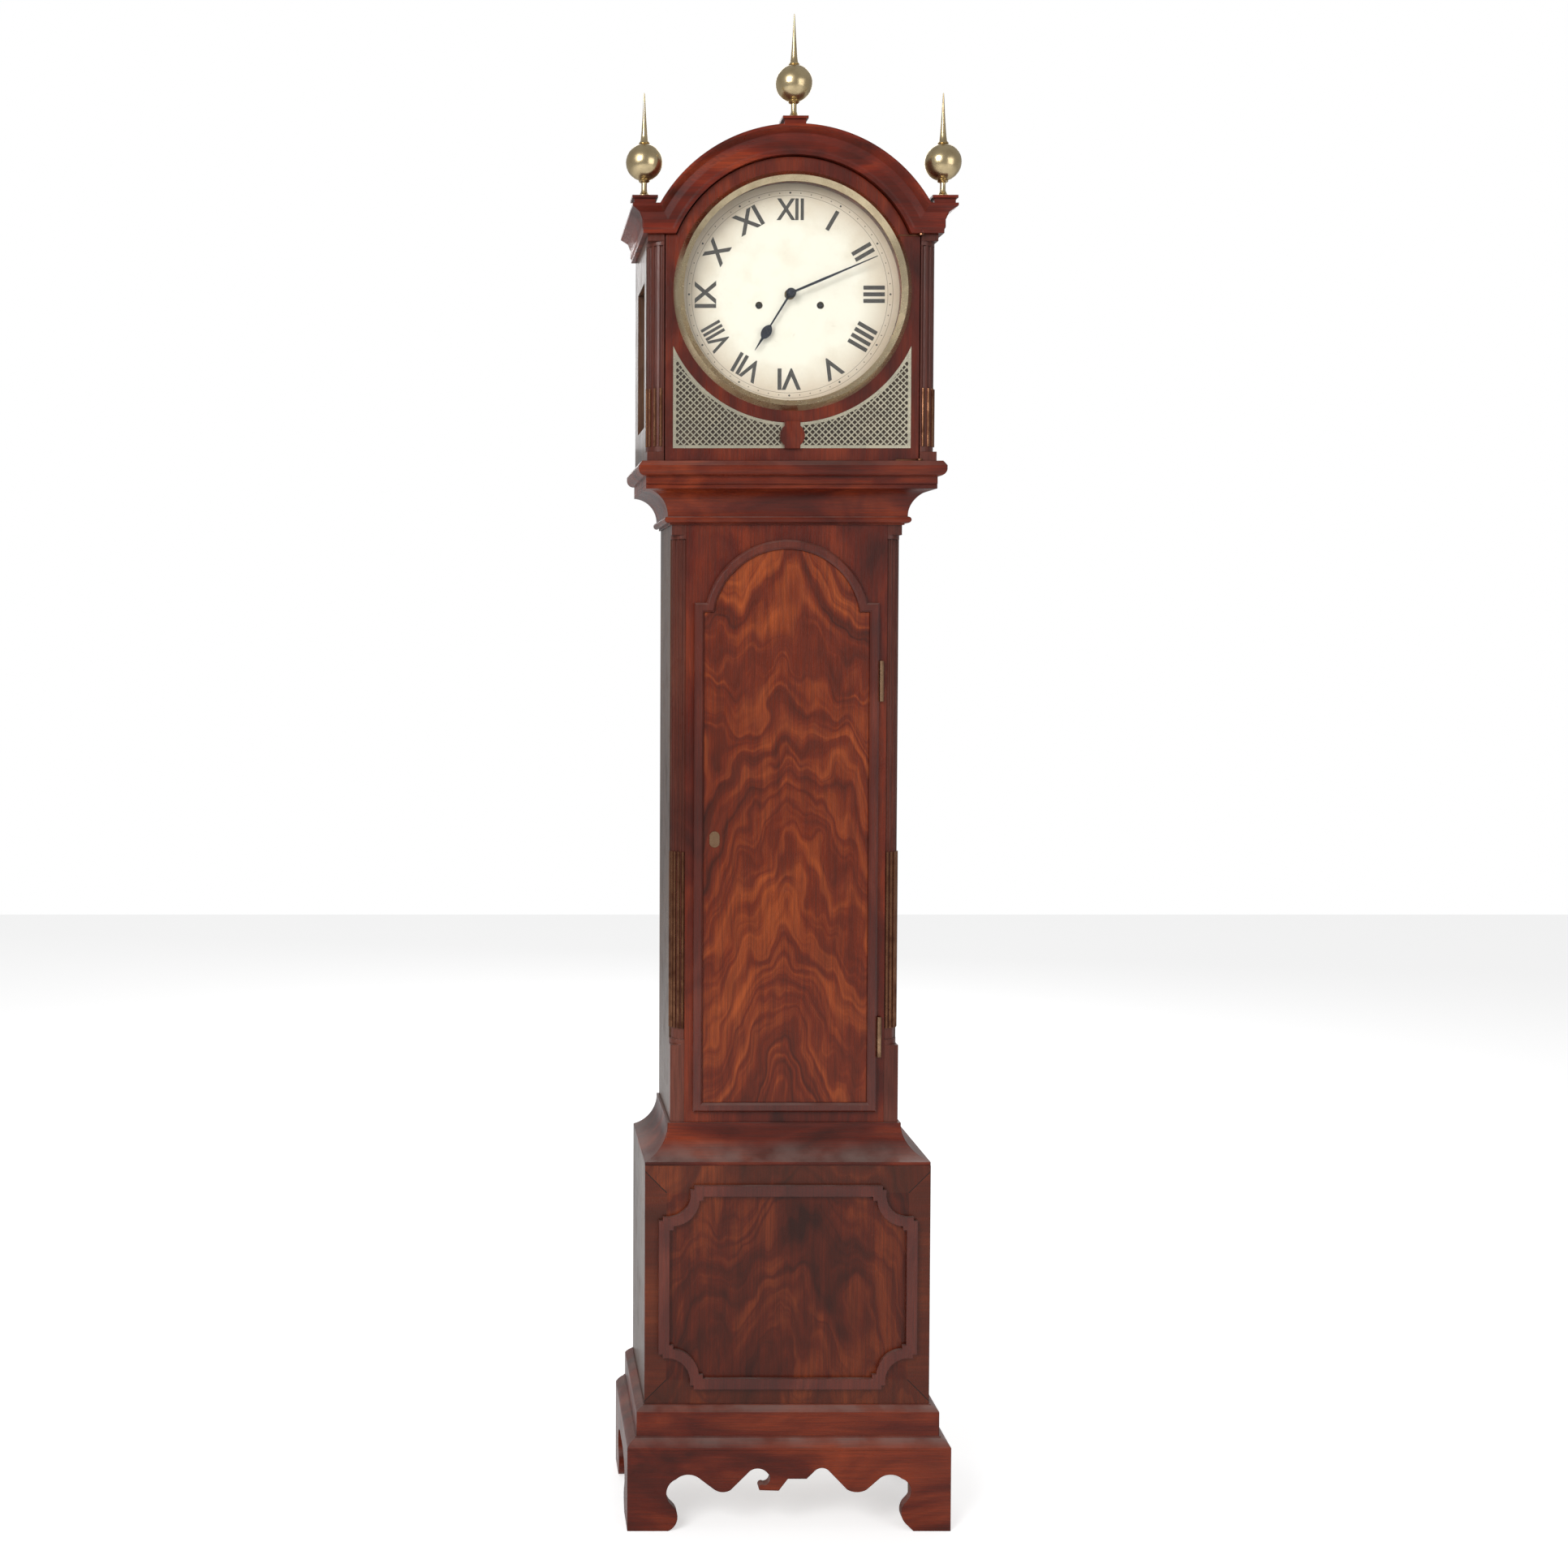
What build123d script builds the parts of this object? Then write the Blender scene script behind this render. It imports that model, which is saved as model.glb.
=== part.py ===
from build123d import *
import os
from math import ceil, cos, hypot, pi, radians, sin, sqrt

# A mahogany longcase clock with an arched hood, a round dial behind a brass bezel, two
# pierced brass sound frets, quarter columns, an arched trunk door and a bracket base.
# The hood slides forward off the case. Behind the dial stand a weight-driven movement
# with an anchor escapement, a one-second pendulum and two weights on pulleys.
# Millimetres, +Z up. The front faces -Y and +X is the viewer's right. The origin is the
# centre of the footprint, on the floor.

# Case plan
carcass_w = 421.0
carcass_d = 225.0
trunk_w = 340.0
trunk_d = 183.0
side_t = 16.0
front_t = 18.0
back_t = 13.0
foot_out = 27.0
hood_side_t = 12.0

# Case heights
apron_h = 119.6
lower_moulding_h = 15.9
band_h = 49.0
band_t = 12.5
upper_moulding_h = 10.1
base_top_z = 534.0
waist_h = 54.0
trunk_lap = 54.0
throat_z = 1478.0
throat_h = 56.5
throat_out = 42.0
hood_base_h = 33.5
cornice_z = 1896.0
cornice_h = 40.0
cornice_out = 23.5

# Bracket base
bracket_t = 16.0
foot_w = 60.0
bracket_arch_z = 84.0
foot_block = 36.0

# Base
base_floor_t = 12.0
base_floor_lift = 4.0
panel_half = 190.6
panel_low_z = 202.5
panel_high_z = 505.8
panel_band = 16.0
panel_corner_r = 46.0
panel_notch = 6.0
panel_proud = 7.0

# Trunk door
door_half = 136.5
door_low_z = 604.6
door_shoulder_z = 1363.0
door_arch_r = 122.6
door_arch_z = 1333.4
door_lip = 10.0
door_play = 1.5
door_band = 14.0
door_proud = 9.0
door_field_proud = 4.0
lift_gap = 0.3

# Quarter columns
trunk_corner = 21.0
hood_corner = 24.5
column_inset = 1.0
flute_r = 2.4
flute_sides = 12
trunk_flutes = 5
hood_flutes = 4
trunk_block_z = 704.0
trunk_shaft_z = 729.0
trunk_reed_z = 993.0
trunk_cap_z = 1457.0
trunk_cap_h = 6.0
hood_shaft_z = 1590.0
hood_reed_z = 1674.0
hood_cap_z = 1880.0

# Hood
roof_t = 8.0
arch_z = 1825.0
arch_r = 184.0
arch_play = 1.6
dial_z = 1814.0
window_low_z = 1622.0
window_high_z = 1836.0
window_front_y = -45.0
window_rear_y = 75.0
glass_t = 2.5
glass_lap = 6.0
mask_t = 8.0
mask_r = 168.0
hood_frame_t = 17.0
cheek_play = 2.5

# Hood door
hood_door_t = 23.5
hood_door_back = 0.5
door_lift = 0.6
fret_sink = 1.0
edge_play = 1.5
sight_r = 158.0
bezel_r = 173.0
bezel_proud = 9.0
door_hole_r = 160.0
fret_r = 190.0
fret_x_in = 11.5
fret_x_out = 173.0
fret_low_z = 1587.0
fret_t = 1.6
silk_t = 0.5
fret_border = 6.0
fret_ledge = 4.0
lattice_pitch = 18.8
lattice_bar = 2.6
baluster_half = 11.5
baluster_bulge = 17.0
baluster_t = 6.0

# Finials
finial_x = 216.0
finial_set_back = 23.0
finial_block = 37.0
finial_block_h = 12.0
finial_ball_r = 26.5
finial_neck_h = 24.0
finial_spire_h = 73.0
spire_base_r = 4.0
ball_belts = 6
finial_sides = 20

# Hinges and locks
pin_r = 2.0
leaf_t = 1.6
knuckle_r = 3.7
hinge_h = 60.0
hinge_z_high = 1247.0
hinge_z_low = 717.0
lock_w = 34.0
lock_h = 56.0
lock_t = 9.0
lock_z = 1012.0
bolt_h = 14.0
bolt_t = 4.0
lock_set_in = 3.0
key_x = -105.8
hood_pin_out = 4.5
hood_eye_r = 4.0
strap_t = 2.2
strap_len = 34.0
strap_w = 14.0

# Dial and hands
dial_r = 165.0
dial_t = 1.6
dial_y = -70.0
winding_x = 45.0
winding_drop = 16.0
winding_hole_r = 5.5
minute_len = 137.0
hour_len = 97.0
minute_angle = 67.0
hour_angle = 212.0
hand_t = 1.2
hour_hand_y = -76.0
minute_hand_y = -82.0

# Movement
seat_z = 1714.0
seat_t = 20.0
seat_front_y = -46.0
seat_rear_y = 45.0
cheek_front_y = -48.0
plate_t = 2.5
plate_half = 92.0
plate_h = 190.0
front_plate_y = -38.0
back_plate_y = 24.0
pillar_r = 4.5
pillar_inset = 6.0
dial_foot_inset = 20.0
line_slot = 8.0
arbor_r = 1.5
barrel_arbor_r = 3.0
winding_square = 6.0
drum_r = 24.0
drum_len = 40.0
wheel_t = 2.5
running = 0.05
great_teeth = 48
great_r = 42.0
centre_teeth = 40
centre_r = 24.0
escape_rise = 44.0
escape_teeth = 30
escape_r = 19.0
escape_depth = 5.0
pallet_angle = 42.0
pallet_play = 0.75
motion_teeth = 24
motion_r = 10.8
hour_teeth = 36
hour_r = 16.9
pipe_r = 2.6
hour_pipe_r = 4.5

# Pendulum, weights, bell
pendulum_y = 58.0
pendulum_len = 994.0
spring_t = 0.5
spring_split = 0.1
rod_r = 2.5
bob_r = 52.0
bob_t = 28.0
weight_y = -4.0
weight_r = 28.0
weight_h = 180.0
weight_z = 1150.0
pulley_z = 1378.0
pulley_r = 25.0
groove_r = 23.8
line_r = 0.8
bell_x = -30.0
bell_y = -15.0
bell_z = 1925.0
bell_r = 40.0
bell_h = 32.0
bell_t = 2.5
hammer_x = -58.0
hammer_z = 1862.0
hammer_play = 1.5

# Faces worked out from the sizes above
y_back = (carcass_d + foot_out) / 2
y_base = y_back - carcass_d
y_trunk = y_back - trunk_d
base_half = carcass_w / 2
trunk_half = trunk_w / 2
foot_half = base_half + foot_out
band_half = base_half + band_t
band_top_z = apron_h + band_h
throat_top_z = throat_z + throat_h
hood_z = throat_top_z + lift_gap
hood_top_z = hood_z + hood_base_h
cornice_top_z = cornice_z + cornice_h
roof_r = arch_r + cornice_h
y_trunk_inner = y_trunk + front_t
trunk_foot_z = base_top_z - trunk_lap
hood_inner_half = base_half - hood_side_t
hood_corner_y = y_base + hood_corner
arbor_z = dial_z - winding_drop
escape_z = dial_z + escape_rise
anchor_z = escape_z + escape_r / cos(radians(pallet_angle))
minute_wheel_z = dial_z - 2 * motion_r - 0.3


def box(x, y, z):
    """A block between pairs of limits."""
    corner = Plane(origin=(x[0], y[0], z[0]))
    return Solid.make_box(x[1] - x[0], y[1] - y[0], z[1] - z[0], corner)


def rod(start, direction, radius, length):
    """A round bar from a point along a direction."""
    return Solid.make_cylinder(radius, length, Plane(origin=start, z_dir=direction))


def polygon(plane, radius, sides):
    """The corners of a regular polygon about a plane's origin."""
    turns = [2 * pi * (number + 0.5) / sides for number in range(sides)]
    return [plane.from_local_coords((radius * cos(t), radius * sin(t), 0)) for t in turns]


def bar(start, direction, radius, length, sides=8):
    """A slender round piece, drawn with flat sides to keep its surface light."""
    plane = Plane(origin=start, z_dir=direction)
    face = Face(Wire.make_polygon(polygon(plane, radius, sides)))
    return Solid.extrude(face, Vector(direction) * length)


def bore(start, direction, radius, length, sides=8):
    """The hole in which such a bar of a radius turns freely."""
    return bar(start, direction, (radius + running) / cos(pi / sides), length, sides)


def lathe(start, direction, sides, *profile):
    """A turning with flat sides, from points in (radius, distance) between two ends."""
    walls = []
    rims = []
    for radius, distance in profile:
        plane = Plane(origin=Vector(start) + Vector(direction) * distance, z_dir=direction)
        rims.append(polygon(plane, radius, sides))
    for near, far in zip(rims, rims[1:]):
        for number in range(sides):
            after = (number + 1) % sides
            corners = [near[number], near[after], far[after], far[number]]
            walls.append(Face(Wire.make_polygon(corners)))
    walls.append(Face(Wire.make_polygon(rims[0])))
    walls.append(Face(Wire.make_polygon(rims[-1])))
    return Solid(Shell(walls))


def on_front(y):
    """Places flat points (x, z) on a plane that faces the front."""
    return lambda p: Vector(p[0], y, p[1])


def on_side(x):
    """Places flat points (y, z) on a plane that faces the side."""
    return lambda p: Vector(x, p[0], p[1])


def on_floor(z):
    """Places flat points (x, y) on a level plane."""
    return lambda p: Vector(p[0], p[1], z)


def outline(place, start, *steps):
    """A face with a closed edge. A step is a point, or a pair: the arc's middle and end."""
    edges = []
    here = start
    for step in steps + (start,):
        if isinstance(step[0], tuple):
            through, there = step
            edges.append(Edge.make_three_point_arc(place(here), place(through), place(there)))
        elif step != here:
            there = step
            edges.append(Edge.make_line(place(here), place(there)))
        here = there
    return Face(Wire(edges))


def plate(y, thickness, start, *steps):
    """A board cut to an outline in x and z, with its front at y."""
    return Solid.extrude(outline(on_front(y), start, *steps), Vector(0, thickness, 0))


def side_board(x, thickness, start, *steps):
    """A board cut to an outline in y and z, with its left face at x."""
    return Solid.extrude(outline(on_side(x), start, *steps), Vector(thickness, 0, 0))



def turned_forward(axis_x, axis_z, start, *steps):
    """A lathe shape about an axis along y, from an outline in radius and y."""
    face = outline(lambda p: Vector(axis_x + p[0], p[1], axis_z), start, *steps)
    return Solid.revolve(face, 360, Axis((axis_x, 0, axis_z), (0, 1, 0)))


def arched(place, half, low, shoulder, radius, centre):
    """A rectangle that steps in at its shoulders to a round arch."""
    foot = sqrt(radius**2 - (shoulder - centre) ** 2)
    return outline(
        place,
        (-half, low),
        (half, low),
        (half, shoulder),
        (foot, shoulder),
        ((0, centre + radius), (-foot, shoulder)),
        (-half, shoulder),
    )


def deep(face, depth):
    """A face on a front plane, carried back by a depth."""
    return Solid.extrude(face, Vector(0, depth, 0))


def wrapped(profile, half, y_face, y_end=None):
    """A moulding mitred round the front and both sides, from a profile in (out, height)."""
    points = [step[1] if isinstance(step[0], tuple) else step for step in profile]
    reach = max(p[0] for p in points) + 1
    inner = min(p[0] for p in points)
    low = min(p[1] for p in points) - 1
    tall = max(p[1] for p in points) + 1 - low
    rear = y_back if y_end is None else y_end
    across = outline(lambda p: Vector(-half - reach, y_face - p[0], p[1]), *profile)
    front = Solid.extrude(across, Vector(2 * (half + reach), 0, 0))
    front_plan = outline(
        on_floor(low),
        (-half - reach, y_face - reach),
        (half + reach, y_face - reach),
        (half + inner, y_face - inner),
        (-half - inner, y_face - inner),
    )
    along = outline(lambda p: Vector(half + p[0], y_face - reach, p[1]), *profile)
    side = Solid.extrude(along, Vector(0, rear - y_face + reach, 0))
    side_plan = outline(
        on_floor(low),
        (half + inner, y_face - inner),
        (half + reach, y_face - reach),
        (half + reach, rear),
        (half + inner, rear),
    )
    front = front & Solid.extrude(front_plan, Vector(0, 0, tall))
    side = side & Solid.extrude(side_plan, Vector(0, 0, tall))
    return [front, side, side.mirror(Plane.YZ)]


def both(shape):
    """A shape and its mirror image on the other side of the clock."""
    return [shape, shape.mirror(Plane.YZ)]


def save(node, *shapes):
    """Writes one node, from one solid or several separate ones."""
    solids = [solid for shape in shapes for solid in shape.solids()]
    export_step(solids[0] if len(solids) == 1 else Compound(solids), f"parts/{node}.step")


def eased_front(shape, y, size):
    """Bevels the edges that lie in the plane at y."""
    edges = shape.edges().filter_by(
        lambda e: abs(e.bounding_box().min.Y - y) < 0.01 and abs(e.bounding_box().max.Y - y) < 0.01
    )
    return chamfer(edges, size)


def bracket_base():
    """The apron with its two front feet, the side brackets and the corner blocks."""
    y_foot = y_base - foot_out
    # The scroll on the left of the drop is whole and its twin on the right is worn away.
    apron = plate(
        y_foot,
        bracket_t,
        (-177.4, 0.0),
        ((-163.8, 18.0), (-171.5, 38.0)),
        ((-180.0, 58.0), (-166.0, 77.0)),
        ((-147.5, bracket_arch_z), (-130.0, 77.0)),
        (-110.0, 62.0),
        ((-98.0, 58.0), (-86.0, 61.0)),
        (-61.0, 86.0),
        ((-45.0, 93.2), (-31.0, 85.5)),
        ((-28.5, 74.0), (-37.0, 68.5)),
        ((-41.5, 69.0), (-43.2, 61.0)),
        (-15.3, 60.2),
        (-1.8, 77.9),
        (25.6, 77.9),
        (38.0, 90.0),
        ((48.0, 94.0), (57.5, 90.5)),
        (85.0, 62.0),
        ((99.5, 58.0), (113.5, 61.5)),
        (134.0, 79.5),
        ((150.0, bracket_arch_z), (165.5, 78.0)),
        ((179.0, 62.0), (172.3, 44.0)),
        ((165.0, 26.0), (170.5, 12.0)),
        (182.9, 0.0),
        (foot_half, 0.0),
        (foot_half, apron_h),
        (-foot_half, apron_h),
        (-foot_half, 0.0),
    )
    save("front_bracket_apron", apron)
    # Each side bracket has the same foot at both ends and a plain arch between.
    y_near = y_foot + bracket_t
    front_toe = y_foot + foot_w
    rear_toe = y_back - foot_w
    side = side_board(
        foot_half - bracket_t,
        bracket_t,
        (y_near, 0.0),
        (front_toe, 0.0),
        ((front_toe + 13.0, 18.0), (front_toe + 5.0, 38.0)),
        ((front_toe - 2.0, 60.0), (front_toe + 14.0, 77.0)),
        (front_toe + 32.0, bracket_arch_z),
        (rear_toe - 32.0, bracket_arch_z),
        (rear_toe - 14.0, 77.0),
        ((rear_toe + 2.0, 60.0), (rear_toe - 5.0, 38.0)),
        ((rear_toe - 13.0, 18.0), (rear_toe, 0.0)),
        (y_back, 0.0),
        (y_back, apron_h),
        (y_near, apron_h),
    )
    save("side_brackets", *both(side))


def plinth():
    """The band round the foot of the base, with a moulding below and above it."""
    board = [(0.0, apron_h), (band_t, apron_h), (band_t, band_top_z), (0.0, band_top_z)]
    band = wrapped(board, base_half, y_base)
    out = foot_half - band_half
    top = apron_h + lower_moulding_h
    lower = [
        (0.0, apron_h),
        (out, apron_h),
        (out, apron_h + 4.0),
        ((out - 4.0, apron_h + 9.0), (2.0, top - 1.5)),
        (2.0, top),
        (0.0, top),
    ]
    low_rim = wrapped(lower, band_half, y_base - band_t)
    cap_top = band_top_z + upper_moulding_h
    upper = [
        (0.0, band_top_z),
        (band_t, band_top_z),
        (band_t, band_top_z + 2.5),
        ((band_t - 4.0, band_top_z + 6.0), (2.0, cap_top - 1.0)),
        (2.0, cap_top),
        (0.0, cap_top),
    ]
    save("plinth_mouldings", *band, *low_rim, *wrapped(upper, base_half, y_base))


def incurved(place, grow):
    """A rectangle whose corners are hollowed by quarter rounds, with a small step each side."""
    half = panel_half - grow
    low = panel_low_z + grow
    high = panel_high_z - grow
    radius = panel_corner_r + grow
    step = panel_notch
    reach = sqrt(radius**2 - grow**2) - grow
    diagonal = radius / sqrt(2) - grow
    corners = []
    for sx, sz in ((1, -1), (1, 1), (-1, 1), (-1, -1)):
        cx = sx * half
        cz = high if sz > 0 else low
        first = (cx - sx * (reach + step), cz)
        nick = (cx - sx * reach, cz - sz * step)
        middle = (cx - sx * (diagonal + step * 0.7), cz - sz * (diagonal + step * 0.7))
        second_nick = (cx - sx * step, cz - sz * reach)
        last = (cx, cz - sz * (reach + step))
        run = [first, (first[0], cz - sz * step), nick, (middle, second_nick)]
        run += [(second_nick[0], last[1]), last]
        if sx * sz > 0:
            run = [last, (second_nick[0], last[1]), second_nick, (middle, nick)]
            run += [(first[0], cz - sz * step), first]
        corners += run
    return outline(place, *corners)


def base():
    """The base box, its bottom board, the rails round the foot of the trunk and the panel."""
    low = apron_h
    save("base_front", box((-base_half, base_half), (y_base, y_base + side_t), (low, base_top_z)))
    side = box((base_half - side_t, base_half), (y_base + side_t, y_back), (low, base_top_z))
    save("base_sides", *both(side))
    inner = base_half - side_t
    floor_z = low + base_floor_lift
    floor = box((-inner, inner), (y_base + side_t, y_back - back_t), (floor_z, floor_z + base_floor_t))
    rail_z = (base_top_z - side_t, base_top_z)
    front_rail = box((-inner, inner), (y_base + side_t, y_trunk), rail_z)
    side_rail = box((trunk_half, inner), (y_trunk, y_back - back_t), rail_z)
    x_foot = foot_half - bracket_t
    y_foot = y_base - foot_out + bracket_t
    across = (x_foot - foot_block, x_foot)
    front_block = box(across, (y_foot, y_foot + foot_block), (0, low))
    rear_block = box(across, (y_back - foot_block, y_back), (0, low))
    blocks = both(front_block) + both(rear_block)
    save("base_inner_frame", floor, front_rail, *both(side_rail), *blocks)
    y_panel = y_base - panel_proud
    frame = deep(incurved(on_front(y_panel), 0.0), panel_proud)
    frame -= deep(incurved(on_front(y_panel), panel_band), panel_proud)
    save("base_panel_moulding", frame)
    out = base_half - trunk_half
    top = base_top_z + waist_h
    cove = [
        (0.0, base_top_z),
        (out, base_top_z),
        (out, base_top_z + 5.0),
        ((out * 0.34, base_top_z + 0.42 * waist_h), (4.0, top - 6.0)),
        (4.0, top),
        (0.0, top),
    ]
    save("waist_moulding", *wrapped(cove, trunk_half, y_trunk))


def backboard():
    """One board from the plinth to the top of the hood, with ears behind the hood."""
    inner = base_half - side_t
    slot = trunk_half - side_t
    ear = hood_inner_half - cheek_play
    ear_z = hood_z + hood_frame_t + 1.0
    shoulder = cornice_z - side_t
    crown = arch_r + 2.0
    foot = sqrt(crown**2 - (shoulder - arch_z) ** 2)
    board = plate(
        y_back - back_t,
        back_t,
        (-inner, apron_h),
        (inner, apron_h),
        (inner, base_top_z),
        (slot, base_top_z),
        (slot, ear_z),
        (ear, ear_z),
        (ear, shoulder),
        (foot, shoulder),
        ((0, arch_z + crown), (-foot, shoulder)),
        (-ear, shoulder),
        (-ear, ear_z),
        (-slot, ear_z),
        (-slot, base_top_z),
        (-inner, base_top_z),
    )
    save("backboard", board)


def trunk():
    """The trunk's sides with their cheeks, its front frame and the throat moulding."""
    y_side = y_trunk + trunk_corner
    y_board = y_back - back_t
    ear_z = hood_z + hood_frame_t + 1.0
    side = side_board(
        trunk_half - side_t,
        side_t,
        (y_side, trunk_foot_z),
        (y_board, trunk_foot_z),
        (y_board, base_top_z),
        (y_back, base_top_z),
        (y_back, ear_z),
        (y_board, ear_z),
        (y_board, seat_z - seat_t),
        (cheek_front_y, seat_z - seat_t),
        (cheek_front_y, throat_top_z),
        (y_side, throat_top_z),
    )
    side -= box(
        (0, trunk_half),
        (cheek_front_y - 1, y_trunk_inner),
        (throat_top_z - 1, throat_top_z),
    )
    rail_low = hood_z + hood_frame_t + 0.4
    rail_y = (cheek_front_y, y_back - back_t)
    rail = box((trunk_half, trunk_half + 12), rail_y, (rail_low, rail_low + 12))
    save("trunk_sides", *both(side), *both(rail))
    mouth = door_half - door_lip
    stile_x = trunk_half - trunk_corner
    stile = box((mouth, stile_x), (y_trunk, y_trunk_inner), (trunk_foot_z, throat_top_z))
    for z in (hinge_z_low, hinge_z_high):
        stile -= hinge_recess(z)
    left = box((-stile_x, -mouth), (y_trunk, y_trunk_inner), (trunk_foot_z, throat_top_z))
    rail = box((-mouth, mouth), (y_trunk, y_trunk_inner), (trunk_foot_z, door_low_z + door_lip))
    shoulder = door_shoulder_z - door_lip
    radius = door_arch_r - door_lip
    foot = sqrt(radius**2 - (shoulder - door_arch_z) ** 2)
    head = plate(
        y_trunk,
        front_t,
        (-mouth, shoulder),
        (-foot, shoulder),
        ((0, door_arch_z + radius), (foot, shoulder)),
        (mouth, shoulder),
        (mouth, throat_top_z),
        (-mouth, throat_top_z),
    )
    save("trunk_front_frame", stile, left, rail, head)
    top = throat_top_z
    throat = [
        (0.0, throat_z),
        (3.0, throat_z),
        (3.0, throat_z + 4.0),
        ((11.5, throat_z + 8.0), (7.0, throat_z + 12.0)),
        ((14.0, throat_z + 0.62 * throat_h), (throat_out, top - 6.0)),
        (throat_out, top),
        (0.0, top),
    ]
    save("throat_moulding", *wrapped(throat, trunk_half, y_trunk))


def quarter_plan(place, corner_x, corner_y, radius):
    """A quarter disc whose round side faces the front right corner."""
    bend = radius / sqrt(2)
    return outline(
        place,
        (corner_x, corner_y),
        (corner_x, corner_y - radius),
        ((corner_x + bend, corner_y - bend), (corner_x + radius, corner_y)),
    )


def fluted_column(corner_x, corner_y, radius, flutes, low, reed_top, high):
    """A fluted quarter shaft, and the brass reeds that stop its flutes at the foot."""
    plan = quarter_plan(on_floor(low), corner_x, corner_y, radius)
    shaft = Solid.extrude(plan, Vector(0, 0, high - low))
    reeds = []
    for number in range(flutes):
        turn = radians(90.0 * (number + 0.5) / flutes)
        at = (corner_x + radius * cos(turn), corner_y - radius * sin(turn), low)
        shaft -= bar(at, (0, 0, 1), flute_r, high - low, flute_sides)
        reeds.append(bar(at, (0, 0, 1), flute_r, reed_top - low, flute_sides))
    return shaft, reeds


def columns():
    """Quarter columns with blocks at the corners of the trunk and of the hood."""
    x = trunk_half - trunk_corner
    y = y_trunk + trunk_corner
    radius = trunk_corner - column_inset
    shaft, reeds = fluted_column(
        x, y, radius, trunk_flutes, trunk_shaft_z, trunk_reed_z, trunk_cap_z
    )
    reeds = [piece for reed in reeds for piece in both(reed)]
    save("trunk_column_reeds", *reeds)
    square = ((x, x + trunk_corner), (y - trunk_corner, y))
    block = box(*square, (trunk_foot_z, trunk_block_z))
    collar = Solid.extrude(quarter_plan(on_floor(trunk_block_z), x, y, trunk_corner), Vector(0, 0, 8))
    neck = Solid.extrude(
        quarter_plan(on_floor(trunk_block_z + 8), x, y, trunk_corner - 2.5),
        Vector(0, 0, trunk_shaft_z - trunk_block_z - 8),
    )
    cap = Solid.extrude(
        quarter_plan(on_floor(trunk_cap_z), x, y, trunk_corner), Vector(0, 0, trunk_cap_h)
    )
    head = box(*square, (trunk_cap_z + trunk_cap_h, throat_top_z))
    save("trunk_columns", *both(shaft), *both(block + collar + neck), *both(cap + head))

    x = base_half - hood_corner
    y = hood_corner_y
    radius = hood_corner - column_inset
    shaft, reeds = fluted_column(
        x, y, radius, hood_flutes, hood_shaft_z, hood_reed_z, hood_cap_z
    )
    reeds = [piece for reed in reeds for piece in both(reed)]
    save("hood_column_reeds", *reeds)
    square = ((x, x + hood_corner), (y - hood_corner, y))
    low_block = box(*square, (hood_top_z, hood_shaft_z - 8))
    low_block += Solid.extrude(
        quarter_plan(on_floor(hood_shaft_z - 8), x, y, hood_corner - 0.5), Vector(0, 0, 8)
    )
    high_block = box(*square, (hood_cap_z + 6, cornice_z))
    high_block += Solid.extrude(
        quarter_plan(on_floor(hood_cap_z), x, y, hood_corner - 0.5), Vector(0, 0, 6)
    )
    save("hood_columns", *both(shaft), *both(low_block), *both(high_block))


def hinge_axis():
    """The trunk door's pin line, in x and y."""
    return door_half + knuckle_r + 0.2, y_trunk - lift_gap - knuckle_r


def hinge_recess(z):
    """The shallow cut in the stile that takes the fixed leaf."""
    x, y = hinge_axis()
    mouth = door_half - door_lip
    return box((mouth, x + 2.0), (y_trunk, y_trunk + leaf_t), (z - hinge_h / 2, z + hinge_h / 2))


def trunk_hinge(z):
    """A butt hinge: the fixed leaf with its pin, and the door's leaf."""
    x, y = hinge_axis()
    half = hinge_h / 2
    third = hinge_h / 3
    mouth = door_half - door_lip
    # The outer thirds of the barrel belong to the frame and the middle third to the door.
    fixed = box((mouth, x + 2.0), (y_trunk, y_trunk + leaf_t), (z - half, z + half))
    for low in (z - half, z + third / 2):
        fixed += bar((x, y, low), (0, 0, 1), knuckle_r, third, 12)
        fixed += box((x - 1.5, x + 1.5), (y, y_trunk + leaf_t), (low, low + third))
    fixed -= box(
        (x - knuckle_r - 0.2, x + knuckle_r + 0.2),
        (y - knuckle_r - 0.2, y_trunk),
        (z - third / 2, z + third / 2),
    )
    fixed += bar((x, y, z - third), (0, 0, 1), pin_r, 2 * third)
    low = z - third / 2 + 0.2
    tall = third - 0.4
    moving = bar((x, y, low), (0, 0, 1), knuckle_r, tall, 12)
    moving += door_leaf(z)
    moving -= bore((x, y, low), (0, 0, 1), pin_r, tall)
    return fixed, moving


def door_leaf(z):
    """The strip of the door's leaf, let into the back of the door's moulding."""
    x, y = hinge_axis()
    third = hinge_h / 3
    high = (z - third / 2 + 0.2, z + third / 2 - 0.2)
    y_leaf = y_trunk - lift_gap
    strip = box((door_half - door_band + 1, door_half), (y_leaf - leaf_t, y_leaf), high)
    return strip + box((door_half, x), (y - leaf_t / 2, y + leaf_t / 2), high) + box(
        (door_half - 2, door_half), (y - leaf_t / 2, y_leaf), high
    )


def trunk_door_outline(y, inset):
    """The door's arched outline, drawn in by an inset."""
    return arched(
        on_front(y),
        door_half - inset,
        door_low_z + inset,
        door_shoulder_z - inset,
        door_arch_r - inset,
        door_arch_z,
    )


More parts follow.
